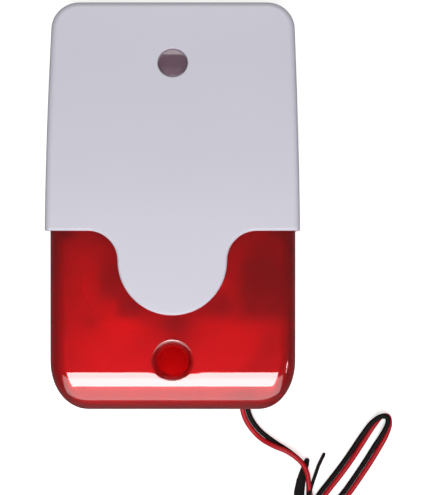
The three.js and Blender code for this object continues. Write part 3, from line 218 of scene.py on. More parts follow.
@cache
def moulded_grain():
    """Fine grain and slow unevenness of a moulded skin: a height, and a roughness round a middle value."""
    group, given, made = node_group(
        "moulded grain",
        [("Scale", "NodeSocketFloat", 900.0), ("Roughness", "NodeSocketFloat", 0.3),
         ("Spread", "NodeSocketFloat", 0.1)],
        [("Height", "NodeSocketFloat"), ("Roughness", "NodeSocketFloat")],
    )
    nodes, links = group.nodes, group.links
    place = nodes.new("ShaderNodeTexCoord")
    fine = nodes.new("ShaderNodeTexNoise")
    fine.inputs["Detail"].default_value = 3.0
    slow = nodes.new("ShaderNodeTexNoise")
    slow.inputs["Scale"].default_value = 60.0
    slow.inputs["Detail"].default_value = 4.0
    spread = nodes.new("ShaderNodeMath")
    spread.operation = "MULTIPLY_ADD"
    centred = nodes.new("ShaderNodeMath")
    centred.operation = "SUBTRACT"
    centred.inputs[1].default_value = 0.5
    links.new(place.outputs["Object"], fine.inputs["Vector"])
    links.new(place.outputs["Object"], slow.inputs["Vector"])
    links.new(given.outputs["Scale"], fine.inputs["Scale"])
    links.new(slow.outputs["Fac"], centred.inputs[0])
    links.new(centred.outputs[0], spread.inputs[0])
    links.new(given.outputs["Spread"], spread.inputs[1])
    links.new(given.outputs["Roughness"], spread.inputs[2])
    links.new(fine.outputs["Fac"], made.inputs["Height"])
    links.new(spread.outputs[0], made.inputs["Roughness"])
    return group


@cache
def tone_drift():
    """A colour that drifts a little over a surface."""
    group, given, made = node_group(
        "tone drift",
        [("Colour", "NodeSocketColor", (1, 1, 1, 1)), ("Other", "NodeSocketColor", (1, 1, 1, 1)),
         ("Scale", "NodeSocketFloat", 40.0)],
        [("Colour", "NodeSocketColor")],
    )
    nodes, links = group.nodes, group.links
    place = nodes.new("ShaderNodeTexCoord")
    noise = nodes.new("ShaderNodeTexNoise")
    noise.inputs["Detail"].default_value = 5.0
    mix = nodes.new("ShaderNodeMix")
    mix.data_type = "RGBA"
    links.new(place.outputs["Object"], noise.inputs["Vector"])
    links.new(given.outputs["Scale"], noise.inputs["Scale"])
    links.new(noise.outputs["Fac"], mix.inputs["Factor"])
    links.new(given.outputs["Colour"], mix.inputs[6])
    links.new(given.outputs["Other"], mix.inputs[7])
    links.new(mix.outputs[2], made.inputs["Colour"])
    return group


def new_material(name):
    material = bpy.data.materials.new(name)
    material.use_nodes = True
    tree = material.node_tree
    return material, tree.nodes, tree.links, tree.nodes["Principled BSDF"]


def add_tone(nodes, links, shader, colour, other, scale):
    """Feeds the shader a colour that drifts between two near tones."""
    tone = nodes.new("ShaderNodeGroup")
    tone.node_tree = tone_drift()
    tone.inputs["Colour"].default_value = (*colour, 1)
    tone.inputs["Other"].default_value = (*other, 1)
    tone.inputs["Scale"].default_value = scale
    links.new(tone.outputs["Colour"], shader.inputs["Base Color"])


def add_grain(nodes, links, shader, scale, roughness, spread, bump, distance):
    """Feeds the shader an uneven roughness and a fine raised grain."""
    skin = nodes.new("ShaderNodeGroup")
    skin.node_tree = moulded_grain()
    skin.inputs["Scale"].default_value = scale
    skin.inputs["Roughness"].default_value = roughness
    skin.inputs["Spread"].default_value = spread
    relief = nodes.new("ShaderNodeBump")
    relief.inputs["Strength"].default_value = bump
    relief.inputs["Distance"].default_value = distance
    links.new(skin.outputs["Roughness"], shader.inputs["Roughness"])
    links.new(skin.outputs["Height"], relief.inputs["Height"])
    links.new(relief.outputs["Normal"], shader.inputs["Normal"])


def surface(name, colour, other, roughness, spread=0.08, grain=900.0, bump=0.05, drift=40.0, **plain):
    """A material with drifting colour, uneven roughness and a fine grain; plain sets sockets directly."""
    material, nodes, links, shader = new_material(name)
    add_tone(nodes, links, shader, colour, other, drift)
    add_grain(nodes, links, shader, grain, roughness, spread, bump, 0.0002)
    for label, value in plain.items():
        shader.inputs[label.replace("_", " ")].default_value = value
    return material


def see_through(name, tint, other, roughness, coat, shade=None, clear=1.0, bump=0.03):
    """A clear or tinted moulding that lets lamps through to what is inside it."""
    material, nodes, links, shader = new_material(name)
    add_tone(nodes, links, shader, tint, other, 90.0)
    add_grain(nodes, links, shader, 300.0, roughness, roughness * 0.2, bump, 0.0001)
    shader.inputs["Transmission Weight"].default_value = clear
    shader.inputs["IOR"].default_value = 1.49
    shader.inputs["Coat Weight"].default_value = coat
    shader.inputs["Coat Roughness"].default_value = 0.02
    shader.inputs["Coat IOR"].default_value = 1.95
    shader.inputs["Specular Tint"].default_value = (*tint, 1)
    shadow = nodes.new("ShaderNodeBsdfTransparent")
    shadow.inputs["Color"].default_value = (*(shade or tint), 1)
    path = nodes.new("ShaderNodeLightPath")
    mix = nodes.new("ShaderNodeMixShader")
    links.new(path.outputs["Is Shadow Ray"], mix.inputs["Fac"])
    links.new(shader.outputs[0], mix.inputs[1])
    links.new(shadow.outputs[0], mix.inputs[2])
    links.new(mix.outputs[0], nodes["Material Output"].inputs["Surface"])
    return material


# ---- Finishes, each made once ----
@cache
def hood_white():
    return surface("white moulding", (0.66, 0.645, 0.73), (0.69, 0.675, 0.76), 0.38, bump=0.03)


@cache
def tray_white():
    return surface("white tray", (0.70, 0.69, 0.72), (0.64, 0.63, 0.66), 0.45)


@cache
def red_lens():
    return see_through("red lens", (0.90, 0.026, 0.041), (0.86, 0.021, 0.035), 0.33, 1.0,
                       shade=(0.95, 0.26, 0.29), clear=0.94)


@cache
def red_plug():
    return see_through("red plug", (0.88, 0.032, 0.048), (0.82, 0.026, 0.040), 0.5, 0.0,
                       shade=(0.95, 0.3, 0.32))


@cache
def mauve_window():
    return see_through("mauve window", (0.42, 0.29, 0.36), (0.35, 0.23, 0.30), 0.16, 0.5,
                       shade=(0.8, 0.7, 0.75), clear=0.72, bump=0.08)


@cache
def black_moulding():
    return surface("black moulding", (0.012, 0.012, 0.013), (0.02, 0.02, 0.021), 0.45)


@cache
def black_rubber():
    return surface("black rubber", (0.006, 0.006, 0.006), (0.012, 0.012, 0.012), 0.6, grain=500.0,
                   bump=0.1, Specular_IOR_Level=0.08)


@cache
def board_resin():
    return surface("board", (0.70, 0.55, 0.30), (0.62, 0.46, 0.24), 0.4, drift=120.0)


@cache
def zinc_steel():
    return surface("zinc steel", (0.55, 0.56, 0.58), (0.66, 0.66, 0.66), 0.28, drift=400.0, Metallic=1.0)


@cache
def diaphragm_brass():
    return surface("brass", (0.72, 0.50, 0.20), (0.62, 0.42, 0.16), 0.3, drift=200.0, Metallic=1.0)


@cache
def piezo_ceramic():
    return surface("piezo ceramic", (0.80, 0.77, 0.68), (0.72, 0.69, 0.60), 0.5)


@cache
def mirrored_plastic():
    return surface("mirrored plastic", (0.88, 0.88, 0.9), (0.8, 0.8, 0.83), 0.3, Metallic=0.8)


@cache
def strobe_glass():
    return see_through("strobe glass", (0.95, 0.97, 0.98), (0.92, 0.95, 0.96), 0.03, 0.5)


@cache
def transformer_tape():
    return surface("yellow tape", (0.82, 0.60, 0.10), (0.74, 0.52, 0.07), 0.35, drift=300.0)


@cache
def coil_varnish():
    return surface("varnished winding", (0.06, 0.02, 0.012), (0.10, 0.035, 0.018), 0.35, drift=900.0)


@cache
def capacitor_sleeve():
    return surface("capacitor sleeve", (0.012, 0.012, 0.016), (0.022, 0.022, 0.028), 0.25)


@cache
def brown_lacquer():
    return surface("resistor body", (0.62, 0.44, 0.24), (0.54, 0.36, 0.18), 0.4, drift=500.0)


@cache
def lamp_resin():
    return see_through("lamp resin", (0.50, 0.55, 0.32), (0.44, 0.49, 0.27), 0.1, 0.5)


@cache
def red_insulation():
    return surface("red insulation", (0.40, 0.006, 0.014), (0.48, 0.010, 0.018), 0.35, grain=1500.0,
                   Specular_IOR_Level=0.25)


@cache
def black_insulation():
    return surface("black insulation", (0.006, 0.005, 0.005), (0.012, 0.010, 0.010), 0.5, grain=1500.0,
                   Specular_IOR_Level=0.08)


@cache
def tinned_copper():
    return surface("tinned copper", (0.62, 0.58, 0.54), (0.50, 0.42, 0.36), 0.3, grain=3000.0,
                   Metallic=1.0)


# ---- Meshes ----
def new_object(name, mesh, material, body):
    item = bpy.data.objects.new(name, mesh)
    bpy.context.scene.collection.objects.link(item)
    mesh.materials.clear()
    mesh.materials.append(material)
    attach(item, body)
    return item


def mesh_from(bm, name):
    bmesh.ops.recalc_face_normals(bm, faces=bm.faces)
    mesh = bpy.data.meshes.new(name)
    bm.to_mesh(mesh)
    bm.free()
    return mesh


def smooth(mesh, degrees):
    mesh.shade_smooth()
    mesh.set_sharp_from_angle(angle=math.radians(degrees))


def even_shading(item):
    """Keeps broad faces level in the shading where they meet narrow ones."""
    step = item.modifiers.new("shading", "WEIGHTED_NORMAL")
    step.keep_sharp = True


def clear_slivers(item, reach=0.03):
    """Merges points that lie closer together than the reach, and drops the faces they leave."""
    bm = bmesh.new()
    bm.from_mesh(item.data)
    bmesh.ops.dissolve_degenerate(bm, dist=reach * MM, edges=bm.edges)
    bmesh.ops.remove_doubles(bm, verts=bm.verts, dist=reach * MM)
    bm.to_mesh(item.data)
    bm.free()


def settle(item):
    """Applies an object's modifiers to its mesh."""
    bpy.context.view_layer.update()
    shown = item.evaluated_get(bpy.context.evaluated_depsgraph_get())
    mesh = bpy.data.meshes.new_from_object(shown)
    item.modifiers.clear()
    item.data = mesh


def round_edges(item, width, segments=2, degrees=35):
    edge = item.modifiers.new("edges", "BEVEL")
    edge.width = width * MM
    edge.segments = segments
    edge.limit_method = "ANGLE"
    edge.angle_limit = math.radians(degrees)
    edge.use_clamp_overlap = True
    settle(item)


def bridge(bm, rings):
    """Faces between each closed ring of points and the next."""
    for below, above in zip(rings, rings[1:]):
        for j in range(len(below)):
            k = (j + 1) % len(below)
            bm.faces.new((below[j], below[k], above[k], above[j]))


def stacked(outlines):
    """A solid through (outline, height) levels with the same count of points in each."""
    bm = bmesh.new()
    rings = [[bm.verts.new((x * MM, y * MM, z * MM)) for x, y in outline] for outline, z in outlines]
    bridge(bm, rings)
    bm.faces.new(rings[0][::-1])
    bm.faces.new(rings[-1])
    return mesh_from(bm, "stacked")


def prism(outline, low, high):
    """An upright prism of an (x, y) outline."""
    return stacked([(outline, low), (outline, high)])


def box_mesh(low, high):
    outline = [(low[0], low[1]), (high[0], low[1]), (high[0], high[1]), (low[0], high[1])]
    return prism(outline, low[2], high[2])


def turned(profile, sides=64):
    """A solid turned about +Z from (radius, height) points that start and end on the axis."""
    bm = bmesh.new()
    turns = [i / sides * math.tau for i in range(sides)]
    rings = []
    for radius, height in profile:
        reach, z = radius * MM, height * MM
        spots = [(reach * math.cos(t), reach * math.sin(t), z) for t in turns] if radius else [(0, 0, z)]
        rings.append([bm.verts.new(spot) for spot in spots])
    for below, above in zip(rings, rings[1:]):
        for j in range(sides):
            k = (j + 1) % sides
            face = [ring[i % len(ring)] for ring, i in ((below, j), (below, k), (above, k), (above, j))]
            bm.faces.new(list(dict.fromkeys(face)))
    return mesh_from(bm, "turned")


def arc(x, y, radius, start, end, steps, radius_y=None):
    """Points round a centre from one angle to another, in degrees."""
    points = []
    for i in range(steps + 1):
        turn = math.radians(start + (end - start) * i / steps)
        points.append((x + radius * math.cos(turn), y + (radius_y or radius) * math.sin(turn)))
    return points


def moved(mesh, x, y, z=0.0, lean=0.0):
    mesh.transform(Matrix.Translation(Vector((x, y, z)) * MM) @ Matrix.Rotation(lean, 4, "X"))
    return mesh


def carve(item, meshes, operation="DIFFERENCE"):
    """Cuts or joins meshes into an object, one after another."""
    tools = []
    for mesh in meshes:
        tool = bpy.data.objects.new("tool", mesh)
        bpy.context.scene.collection.objects.link(tool)
        step = item.modifiers.new("carve", "BOOLEAN")
        step.operation = operation
        step.solver = "EXACT"
        step.object = tool
        tools.append(tool)
    settle(item)
    for tool in tools:
        bpy.data.objects.remove(tool)


# ---- The case's form, shared by the hood and the lens ----
def along_hood(y):
    """Share of the way from the hood's lip to its top, none below the lip."""
    return max(0.0, (y - LIP) / HOOD_LENGTH)


def half_width(y, half):
    return half - TAPER * along_hood(y) ** TAPER_POWER


def hood_front(y):
    return DEPTH - HOOD_FALL * along_hood(y) ** 2


def hood_inside(y):
    return hood_front(y) - HOOD_FRONT


def lens_front(y):
    along = min(1.0, max(0.0, (BOTTOM + CHIN_LENGTH - y) / CHIN_LENGTH))
    return hood_front(y) - HOOD_FRONT - GAP - CHIN_FALL * (1 - math.sqrt(1 - along ** 2))


def lens_inside(y):
    return lens_front(y) - LENS_FRONT


LENS_FORM = {"half": CASE_HALF, "low": BOTTOM, "high": CASE_TOP,
             "x": LENS_CORNER_X, "y": LENS_CORNER_Y, "top": CASE_CORNER}
HOOD_FORM = {"half": WIDTH / 2, "low": LIP - SHOULDER_R - TONGUE_R - HOOD_CORNER, "high": TOP,
             "x": HOOD_FOOT_CORNER, "y": HOOD_FOOT_CORNER, "top": HOOD_CORNER}


def side_rows(form, inset, turns=18, pitch=2.5):
    """Points up the right side of a form, drawn in by an inset."""
    rows = []
    low, high = form["low"] + form["y"], form["high"] - form["top"]
    low_x = half_width(low, form["half"]) - form["x"]
    high_x = half_width(high, form["half"]) - form["top"]
    for i in range(turns + 1):
        turn = -math.pi / 2 + i / turns * math.pi / 2
        x = low_x + (form["x"] - inset) * math.cos(turn)
        rows.append((x, low + (form["y"] - inset) * math.sin(turn)))
    steps = round((high - low) / pitch)
    for i in range(1, steps):
        y = low + (high - low) * i / steps
        rows.append((half_width(y, form["half"]) - inset, y))
    for i in range(turns + 1):
        turn = i / turns * math.pi / 2
        reach = form["top"] - inset
        rows.append((high_x + reach * math.cos(turn), high + reach * math.sin(turn)))
    return rows


# Shares of the way from the right side to the left: close together near the sides, so the middle stays level.
ACROSS = (0.01, 0.03, 0.08, 0.2, 0.35, 0.5, 0.65, 0.8, 0.92, 0.97, 0.99)


def between(right, left):
    return [Vector(right).lerp(Vector(left), share) for share in ACROSS]


def cap(bm, ring, side):
    """Closes a loop with rows from its right side to its left."""
    step = len(ACROSS)
    left = ring[side + step:side * 2 + step][::-1]
    rows = [[ring[0], *ring[side * 2 + step:][::-1], left[0]]]
    for i in range(1, side - 1):
        inner = [bm.verts.new(point) for point in between(ring[i].co, left[i].co)]
        rows.append([ring[i], *inner, left[i]])
    rows.append([ring[side - 1], *ring[side:side + step], left[-1]])
    for near, far in zip(rows, rows[1:]):
        for a, b, c, d in zip(near, far, far[1:], near[1:]):
            bm.faces.new((a, b, c, d))


def loft(loops, side):
    """A closed skin through loops that run up the right side, across, down the left side and back."""
    bm = bmesh.new()
    rings = [[bm.verts.new(Vector(point) * MM) for point in loop] for loop in loops]
    bridge(bm, rings)
    for ring in (rings[0], rings[-1]):
        cap(bm, ring, side)
    return mesh_from(bm, "form")


def formed(form, levels):
    """The solid of a form through (inset, height) levels."""
    loops = []
    for inset, height in levels:
        right = [(x, y, height(y)) for x, y in side_rows(form, inset)]
        left = [(-x, y, z) for x, y, z in right]
        loops.append([*right, *between(right[-1], left[-1]), *left[::-1], *between(left[0], right[0])])
    return loft(loops, len(right))


def front_levels(start, inset, edge, front, steps=10):
    """Levels from a flat back up to a front whose edge is rounded over."""
    levels = [(inset, lambda y: start)]
    for i in range(steps + 1):
        turn = i / steps * math.pi / 2
        drop = edge * (1 - math.sin(turn))
        levels.append((inset + edge * (1 - math.cos(turn)), lambda y, drop=drop: front(y) - drop))
    return levels


def at_window(profile):
    """A turned solid stood square to the hood's front, round the indicator's middle."""
    slope = -2 * HOOD_FALL * (WINDOW_Y - LIP) / HOOD_LENGTH ** 2
    return moved(turned(profile), 0, WINDOW_Y, hood_front(WINDOW_Y), math.atan(slope))


def louvres(margin):
    """Cutters for the louvres, grown by a margin."""
    half, low, high = LOUVRE_HALF + margin, LOUVRE_LOW - margin, LOUVRE_HIGH + margin
    places = [LOUVRE_MIDDLE + i * LOUVRE_PITCH for i in range(-2, 3)]
    return [box_mesh((-LOUVRE_REACH, y - half, low), (LOUVRE_REACH, y + half, high)) for y in places]


# ---- The hood ----
def lip_outline(inset):
    """The hood's part of the front: above the lip and inside the half-round tongue."""
    y, x, edge = LIP - SHOULDER_R, TONGUE_R + SHOULDER_R, WIDTH / 2 + 1
    outline = [(edge, TOP + 1), (-edge, TOP + 1), (-edge, LIP + inset)]
    outline += arc(-x, y, SHOULDER_R + inset, 90, 0, 20)
    outline += arc(0, y, TONGUE_R - inset, 180, 360, 48)[1:]
    outline += arc(x, y, SHOULDER_R + inset, 180, 90, 20)[1:]
    return outline + [(edge, LIP + inset)]


def lip_form(steps=6):
    """What the hood keeps, with the front edge of the lip rolled over."""
    levels = [(lip_outline(0), -1)]
    for i in range(steps + 1):
        turn = i / steps * math.radians(LIP_ROLL_TURN)
        inset, drop = LIP_ROLL * (1 - math.cos(turn)), LIP_ROLL * (1 - math.sin(turn))
        levels.append((lip_outline(inset), DEPTH - drop))
    return stacked([*levels, (lip_outline(LIP_ROLL), DEPTH + 1)])


def hood_hole():
    """The indicator's hole, chamfered at the front."""
    rim = WINDOW_HOLE_R + WINDOW_CHAMFER
    return at_window([(0, -WINDOW_HOLE_DEPTH), (WINDOW_HOLE_R, -WINDOW_HOLE_DEPTH),
                      (WINDOW_HOLE_R, -WINDOW_CHAMFER), (rim, 0), (rim, 1), (0, 1)])


def make_hood():
    outside = formed(HOOD_FORM, front_levels(SKIRT_EDGE, 0, HOOD_EDGE, hood_front))
    inside = formed(HOOD_FORM, front_levels(SKIRT_EDGE - 1, HOOD_WALL, HOOD_EDGE - HOOD_WALL, hood_inside))
    item = new_object("hood_shell", outside, hood_white(), "cover")
    carve(item, [inside])
    carve(item, [lip_form()], "INTERSECT")
    carve(item, [hood_hole(), *louvres(0)])
    clear_slivers(item)
    smooth(item.data, 50)
    even_shading(item)
    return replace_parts(item, "hood")


# ---- The lens ----
def well_post():
    """The post that carries the screw's well."""
    top = LENS_Z - WELL_SINK
    return moved(turned([(0, WELL_BASE), (WELL_R, WELL_BASE), (WELL_R, top), (0, top)]), 0, WELL_Y)


def well_mouth():
    """The well's bore, flared at the front."""
    profile = [(0, WELL_SEAT), (WELL_BORE_R, WELL_SEAT), (WELL_BORE_R, LENS_Z - MOUTH_DEPTH)]
    for i in range(1, MOUTH_STEPS):
        share = i / MOUTH_STEPS
        profile.append((WELL_BORE_R + MOUTH_FLARE * share, LENS_Z - MOUTH_DEPTH * (1 - share) ** MOUTH_CURVE))
    profile += [(MOUTH_R, LENS_Z), (MOUTH_R, LENS_Z + 1), (0, LENS_Z + 1)]
    return moved(turned(profile), 0, WELL_Y)


def screw_hole():
    """The hole in the well's floor that the screw goes through."""
    profile = [(0, SCREW_HOLE_LOW), (SCREW_HOLE_R, SCREW_HOLE_LOW),
               (SCREW_HOLE_R, SCREW_HOLE_HIGH), (0, SCREW_HOLE_HIGH)]
    return moved(turned(profile, 24), 0, WELL_Y)


def dish():
    """The shallow oval sunk in the front above the well."""
    outline = arc(0, DISH_Y, DISH_HALF_X, 0, 360 - 360 / DISH_SIDES, DISH_SIDES - 1, DISH_HALF_Y)
    return prism(outline, LENS_Z - DISH_DEPTH, LENS_Z + 1)


def lens_bore():
    """The wide hole behind the indicator's window."""
    return at_window([(0, -WINDOW_BORE_DEPTH), (WINDOW_BORE_R, -WINDOW_BORE_DEPTH), (WINDOW_BORE_R, 1), (0, 1)])


def hook(x):
    """The curl that hangs the lens on one of the tray's bars."""
    outline = [(HOOK_BACK, HOOK_ROOT), (-HOOK_R, HOOK_ROOT)]
    outline += arc(0, 0, HOOK_R, 180, HOOK_CURL, 16) + arc(0, 0, HOOK_BORE_R, HOOK_CURL, 180, 16)
    outline += [(-HOOK_BORE_R, HOOK_THROAT), (HOOK_BACK, HOOK_THROAT)]
    mesh = prism(outline, -HOOK_HALF, HOOK_HALF)
    mesh.transform(Matrix(((0, 0, 1, x * MM), (1, 0, 0, HOOK_Y * MM), (0, 1, 0, HOOK_Z * MM), (0, 0, 0, 1))))
    return mesh


def make_lens():
    outside = formed(LENS_FORM, front_levels(COVER_EDGE, 0, LENS_EDGE, lens_front))
    inside = formed(LENS_FORM, front_levels(COVER_EDGE - 1, CASE_WALL, LENS_EDGE - CASE_WALL, lens_inside))
    item = new_object("lens_shell", outside, red_lens(), "cover")
    carve(item, [inside])
    carve(item, [well_post()], "UNION")
    carve(item, [well_mouth(), screw_hole(), dish(), lens_bore(), *louvres(GAP)])
    carve(item, [hook(x) for x in HOOK_PLACES], "UNION")
    round_edges(item, 0.15, 2, 40)
    smooth(item.data, 45)
    even_shading(item)
    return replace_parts(item, "lens")


# ---- The supply wires ----
def pair_points(side):
    """One wire's centre points in metres: side 1 is the red wire, -1 the black one."""
    centre = [(Vector((x, y, z)), turn) for x, y, z, turn in SUPPLY_ROUTE]
    for run, off, z, turn in HANK_ROUTE:
        centre.append(((HANK_TIP + HANK_ALONG * run + HANK_ACROSS * off).to_3d() + Vector((0, 0, z)), turn))
    points = []
    for i, (point, turn) in enumerate(centre):
        ahead = centre[min(i + 1, len(centre) - 1)][0] - centre[max(i - 1, 0)][0]
        left = Vector((-ahead.y, ahead.x, 0)).normalized()
        turn = math.radians(turn)
        offset = (left * math.cos(turn) + Vector((0, 0, math.sin(turn)))) * side * PAIR_OFFSET
        points.append((point + offset) * MM)
    return points


def smooth_path(points, steps=8):
    """A centripetal curve through the points."""
    made = []
    ends = [points[0] * 2 - points[1], *points, points[-1] * 2 - points[-2]]
    for a, b, c, d in zip(ends, ends[1:], ends[2:], ends[3:]):
        knots = [0.0]
        for start, end in ((a, b), (b, c), (c, d)):
            knots.append(knots[-1] + (end - start).length ** 0.5)
        t0, t1, t2, t3 = knots
        for i in range(steps):
            t = t1 + (t2 - t1) * i / steps
            ab = a.lerp(b, (t - t0) / (t1 - t0))
            bc = b.lerp(c, (t - t1) / (t2 - t1))
            cd = c.lerp(d, (t - t2) / (t3 - t2))
            abc, bcd = ab.lerp(bc, (t - t0) / (t2 - t0)), bc.lerp(cd, (t - t1) / (t3 - t1))
            made.append(abc.lerp(bcd, (t - t1) / (t2 - t1)))
    made.append(points[-1])
    return made


def tube_curve(name, points, radius, material):
    """A round cord through points in metres, on the base."""
    curve = bpy.data.curves.new(name, "CURVE")
    curve.dimensions = "3D"
    curve.bevel_depth = radius * MM
    curve.bevel_resolution = 4
    curve.use_fill_caps = True
    spline = curve.splines.new("POLY")
    spline.points.add(len(points) - 1)
    for target, point in zip(spline.points, points):
        target.co = (*point, 1)
    curve.materials.append(material)
    item = bpy.data.objects.new(name, curve)
    bpy.context.scene.collection.objects.link(item)
    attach(item, "base")
    return item


def make_supply_wire(name, side, material):
    """One insulated wire from the grommet to its tinned end."""
    points = smooth_path(pair_points(side))
    wire = tube_curve(f"supply_wire_{name}", points, WIRE_R, material)
    ahead = (points[-1] - points[-2]).normalized()
    end = points[-1] + ahead * STRANDS_LENGTH * MM
    strands = tube_curve(f"bare_end_{name}", [points[-1], end], STRANDS_R, tinned_copper())
    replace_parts(wire, f"wire_{name}")
    return wire


def make_supply_wires():
    red = make_supply_wire("red", 1, red_insulation())
    make_supply_wire("black", -1, black_insulation())
    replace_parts(red, "wire_hank")


# ---- The tie ----
def band_section():
    """The band's inner outline: a round-shouldered crown over tighter feet."""
    crown_x, crown_z = TIE_HALF - TIE_CROWN_R, TIE_HIGH - TIE_CROWN_R
    foot_x, foot_z = TIE_HALF - TIE_FOOT_R, TIE_LOW + TIE_FOOT_R
    return (arc(crown_x, crown_z, TIE_CROWN_R, 0, 90, 6) + arc(-crown_x, crown_z, TIE_CROWN_R, 90, 180, 6)
            + arc(-foot_x, foot_z, TIE_FOOT_R, 180, 270, 5) + arc(foot_x, foot_z, TIE_FOOT_R, 270, 360, 5))


def make_tie_band():
    """The flat band wrapped round the hank."""
    middle = HANK_TIP + HANK_ALONG * TIE_FROM_TIP
    bm = bmesh.new()
    rings = []
    for run, grow in ((-TIE_HALF_WIDTH, 0.0), (-TIE_HALF_WIDTH, TIE_THICK),
                      (TIE_HALF_WIDTH, TIE_THICK), (TIE_HALF_WIDTH, 0.0)):
        scale = 1 + grow / TIE_HALF
        ring = []
        for off, z in band_section():
            flat = middle + HANK_ALONG * run + HANK_ACROSS * off * scale
            height = (z - TIE_MIDDLE_Z) * scale + TIE_MIDDLE_Z + TIE_LIFT
            ring.append(bm.verts.new(Vector((flat.x, flat.y, height)) * MM))
        rings.append(ring)
    bridge(bm, [*rings, rings[0]])
    band = new_object("tie_band", mesh_from(bm, "tie_band"), black_rubber(), "base")
    smooth(band.data, 40)
    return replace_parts(band, "wire_tie")


def tie_end(name, places):
    """A flat strip through places in millimetres, each with the strip's width there."""
    points = [Vector(place[:3]) for place in places]
    up = Vector((0, 0, TIE_END_THICK / 2))
    bm = bmesh.new()
    rings = []
    for i, here in enumerate(points):
        ahead = points[min(i + 1, len(points) - 1)] - points[max(i - 1, 0)]
        side = Vector((-ahead.y, ahead.x, 0)).normalized() * places[i][3] / 2
        corners = (-side - up, side - up, side + up, -side + up)
        rings.append([bm.verts.new((here + corner) * MM) for corner in corners])
    bridge(bm, rings)
    bm.faces.new(rings[0][::-1])
    bm.faces.new(rings[-1])
    item = new_object(name, mesh_from(bm, name), black_rubber(), "base")
    round_edges(item, TIE_END_THICK * 0.35, 2, 50)
    smooth(item.data, 50)


def make_tie():
    make_tie_band()
    tie_end("tie_end_wide", TIE_WIDE_END)
    tie_end("tie_end_thin", TIE_THIN_END)


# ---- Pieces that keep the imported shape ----
def refined(node, material, bevel=0.15):
    """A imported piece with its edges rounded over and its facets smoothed."""
    source = frame["nodes"][node]
    mesh = source.data.copy()
    bm = bmesh.new()
    bm.from_mesh(mesh)
    bmesh.ops.remove_doubles(bm, verts=bm.verts, dist=1e-6)
    bmesh.ops.dissolve_limit(bm, angle_limit=math.radians(1), verts=bm.verts, edges=bm.edges)
    bm.to_mesh(mesh)
    bm.free()
    item = new_object(node + "_piece", mesh, material, source["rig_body"])
    if bevel:
        round_edges(item, bevel)
    smooth(item.data, 35)
    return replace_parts(item, node)


def make_tray():
    refined("back_plate", tray_white())


def make_grommet():
    refined("cable_grommet", black_rubber())


def make_window():
    refined("indicator_window", mauve_window())


def make_light_baffle():
    refined("light_baffle", black_moulding())


def make_washer():
    refined("screw_washer", zinc_steel())


def make_cover_screw():
    refined("cover_screw", zinc_steel())


def make_plug():
    refined("screw_cap", red_plug())


def make_circuit_board():
    refined("circuit_board", board_resin())


def make_strobe_reflector():
    refined("strobe_reflector", mirrored_plastic())


def make_strobe_tube():
    refined("strobe_tube", strobe_glass())
    refined("tube_end_left", zinc_steel())
    refined("tube_end_right", zinc_steel())


def make_trigger_coil():
    refined("trigger_coil", coil_varnish())


def make_transformer():
    refined("transformer", transformer_tape())


def make_flash_capacitor():
    refined("flash_capacitor", capacitor_sleeve())


def make_driver_transistor():
    refined("driver_transistor", black_moulding())


def make_storage_capacitor():
    refined("storage_capacitor", brown_lacquer())


def make_resistors():
    for number in (1, 2, 3):
        refined(f"resistor_{number}", brown_lacquer())


def make_sounder_housing():
    refined("sounder_housing", black_moulding())


def make_sounder_ring():
    refined("sounder_ring", black_moulding())


def make_diaphragm():
    refined("sounder_diaphragm", diaphragm_brass())
    refined("piezo_disc", piezo_ceramic())


def make_indicator():
    refined("indicator_board", board_resin())
    refined("indicator_led", lamp_resin())
    refined("indicator_screw", zinc_steel())


def make_small_screws():
    for group, count in (("board", 2), ("sounder", 2), ("ring", 3)):
        for number in range(1, count + 1):
            refined(f"{group}_screw_{number}", zinc_steel())


def make_inside_leads():
    for lead in ("inner_lead", "sounder_lead"):
        refined(lead + "_red", red_insulation(), 0)
        refined(lead + "_black", black_insulation(), 0)


def make_indicator_cable():
    refined("indicator_cable", black_insulation(), 0)


# ---- Studio ----
def make_camera():
    camera = bpy.data.cameras.new("camera")
    camera.sensor_width = 36
    camera.lens = 107.3
    camera.clip_start = 0.01
    item = bpy.data.objects.new("camera", camera)
    bpy.context.scene.collection.objects.link(item)
    item.location = (0.0129, -0.0119, 0.463)
    bpy.context.scene.camera = item


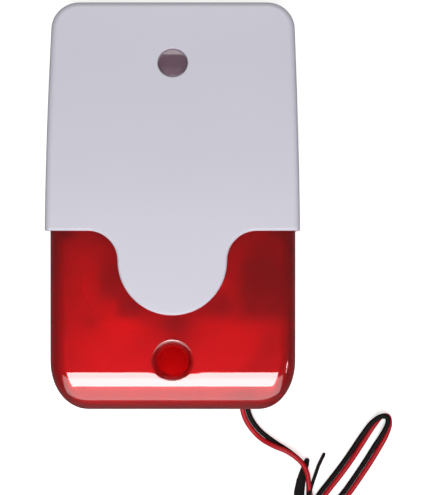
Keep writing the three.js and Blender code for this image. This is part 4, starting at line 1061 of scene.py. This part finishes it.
def floor_look():
    """Pale to the eye, but darker in the siren's reflections, as a table's edge would be."""
    material, nodes, links, pale = new_material("floor")
    pale.inputs["Base Color"].default_value = (0.85, 0.85, 0.85, 1)
    pale.inputs["Roughness"].default_value = 0.9
    pale.inputs["Emission Color"].default_value = (1, 1, 1, 1)
    pale.inputs["Emission Strength"].default_value = 0.55
    dim = nodes.new("ShaderNodeBsdfDiffuse")
    dim.inputs["Color"].default_value = (0.10, 0.10, 0.10, 1)
    path = nodes.new("ShaderNodeLightPath")
    mix = nodes.new("ShaderNodeMixShader")
    links.new(path.outputs["Is Camera Ray"], mix.inputs["Fac"])
    links.new(dim.outputs[0], mix.inputs[1])
    links.new(pale.outputs[0], mix.inputs[2])
    links.new(mix.outputs[0], nodes["Material Output"].inputs["Surface"])
    return material


def make_floor():
    floor = box_mesh((-3000, -3000, -2), (3000, 3000, -0.05))
    item = bpy.data.objects.new("floor", floor)
    bpy.context.scene.collection.objects.link(item)
    floor.materials.append(floor_look())


def make_room_light():
    world = bpy.data.worlds.new("world")
    bpy.context.scene.world = world
    world.use_nodes = True
    backdrop = world.node_tree.nodes["Background"]
    backdrop.inputs["Color"].default_value = (1, 1, 1, 1)
    backdrop.inputs["Strength"].default_value = 0.06


def lamp(name, size, place, target, power):
    """A flat rectangular lamp turned towards a target, sizes and places in metres."""
    light = bpy.data.lights.new(name, "AREA")
    light.shape = "RECTANGLE"
    light.size, light.size_y = size
    light.energy = power
    item = bpy.data.objects.new(name, light)
    bpy.context.scene.collection.objects.link(item)
    item.location = place
    item.rotation_euler = (Vector(target) - Vector(place)).to_track_quat("-Z", "Y").to_euler()


def make_lamps():
    lamp("overhead strip", (0.19, 0.36), (-0.016, -0.305, 0.62), (-0.016, -0.305, 0), 1.55)
    lamp("front card", (1.6, 1.6), (0, -0.9, 0.60), (0, 0, 0.02), 12.3)
    lamp("top card", (1.0, 0.5), (0, 0.9, 0.75), (0, 0.02, 0.04), 5.6)
    lamp("right sliver", (0.09, 0.01), (0.42, -0.13, 0.30), (0.03, -0.03, 0.03), 0.10)


def make_studio():
    make_floor()
    make_room_light()
    make_lamps()
    bpy.context.scene.view_settings.view_transform = "Standard"


make_camera()
make_supply_wires()
make_tie()
make_hood()
make_lens()
make_tray()
make_grommet()
make_window()
make_light_baffle()
make_washer()
make_cover_screw()
make_plug()
make_circuit_board()
make_strobe_reflector()
make_strobe_tube()
make_trigger_coil()
make_transformer()
make_flash_capacitor()
make_driver_transistor()
make_storage_capacitor()
make_resistors()
make_sounder_housing()
make_sounder_ring()
make_diaphragm()
make_indicator()
make_small_screws()
make_inside_leads()
make_indicator_cable()
make_studio()
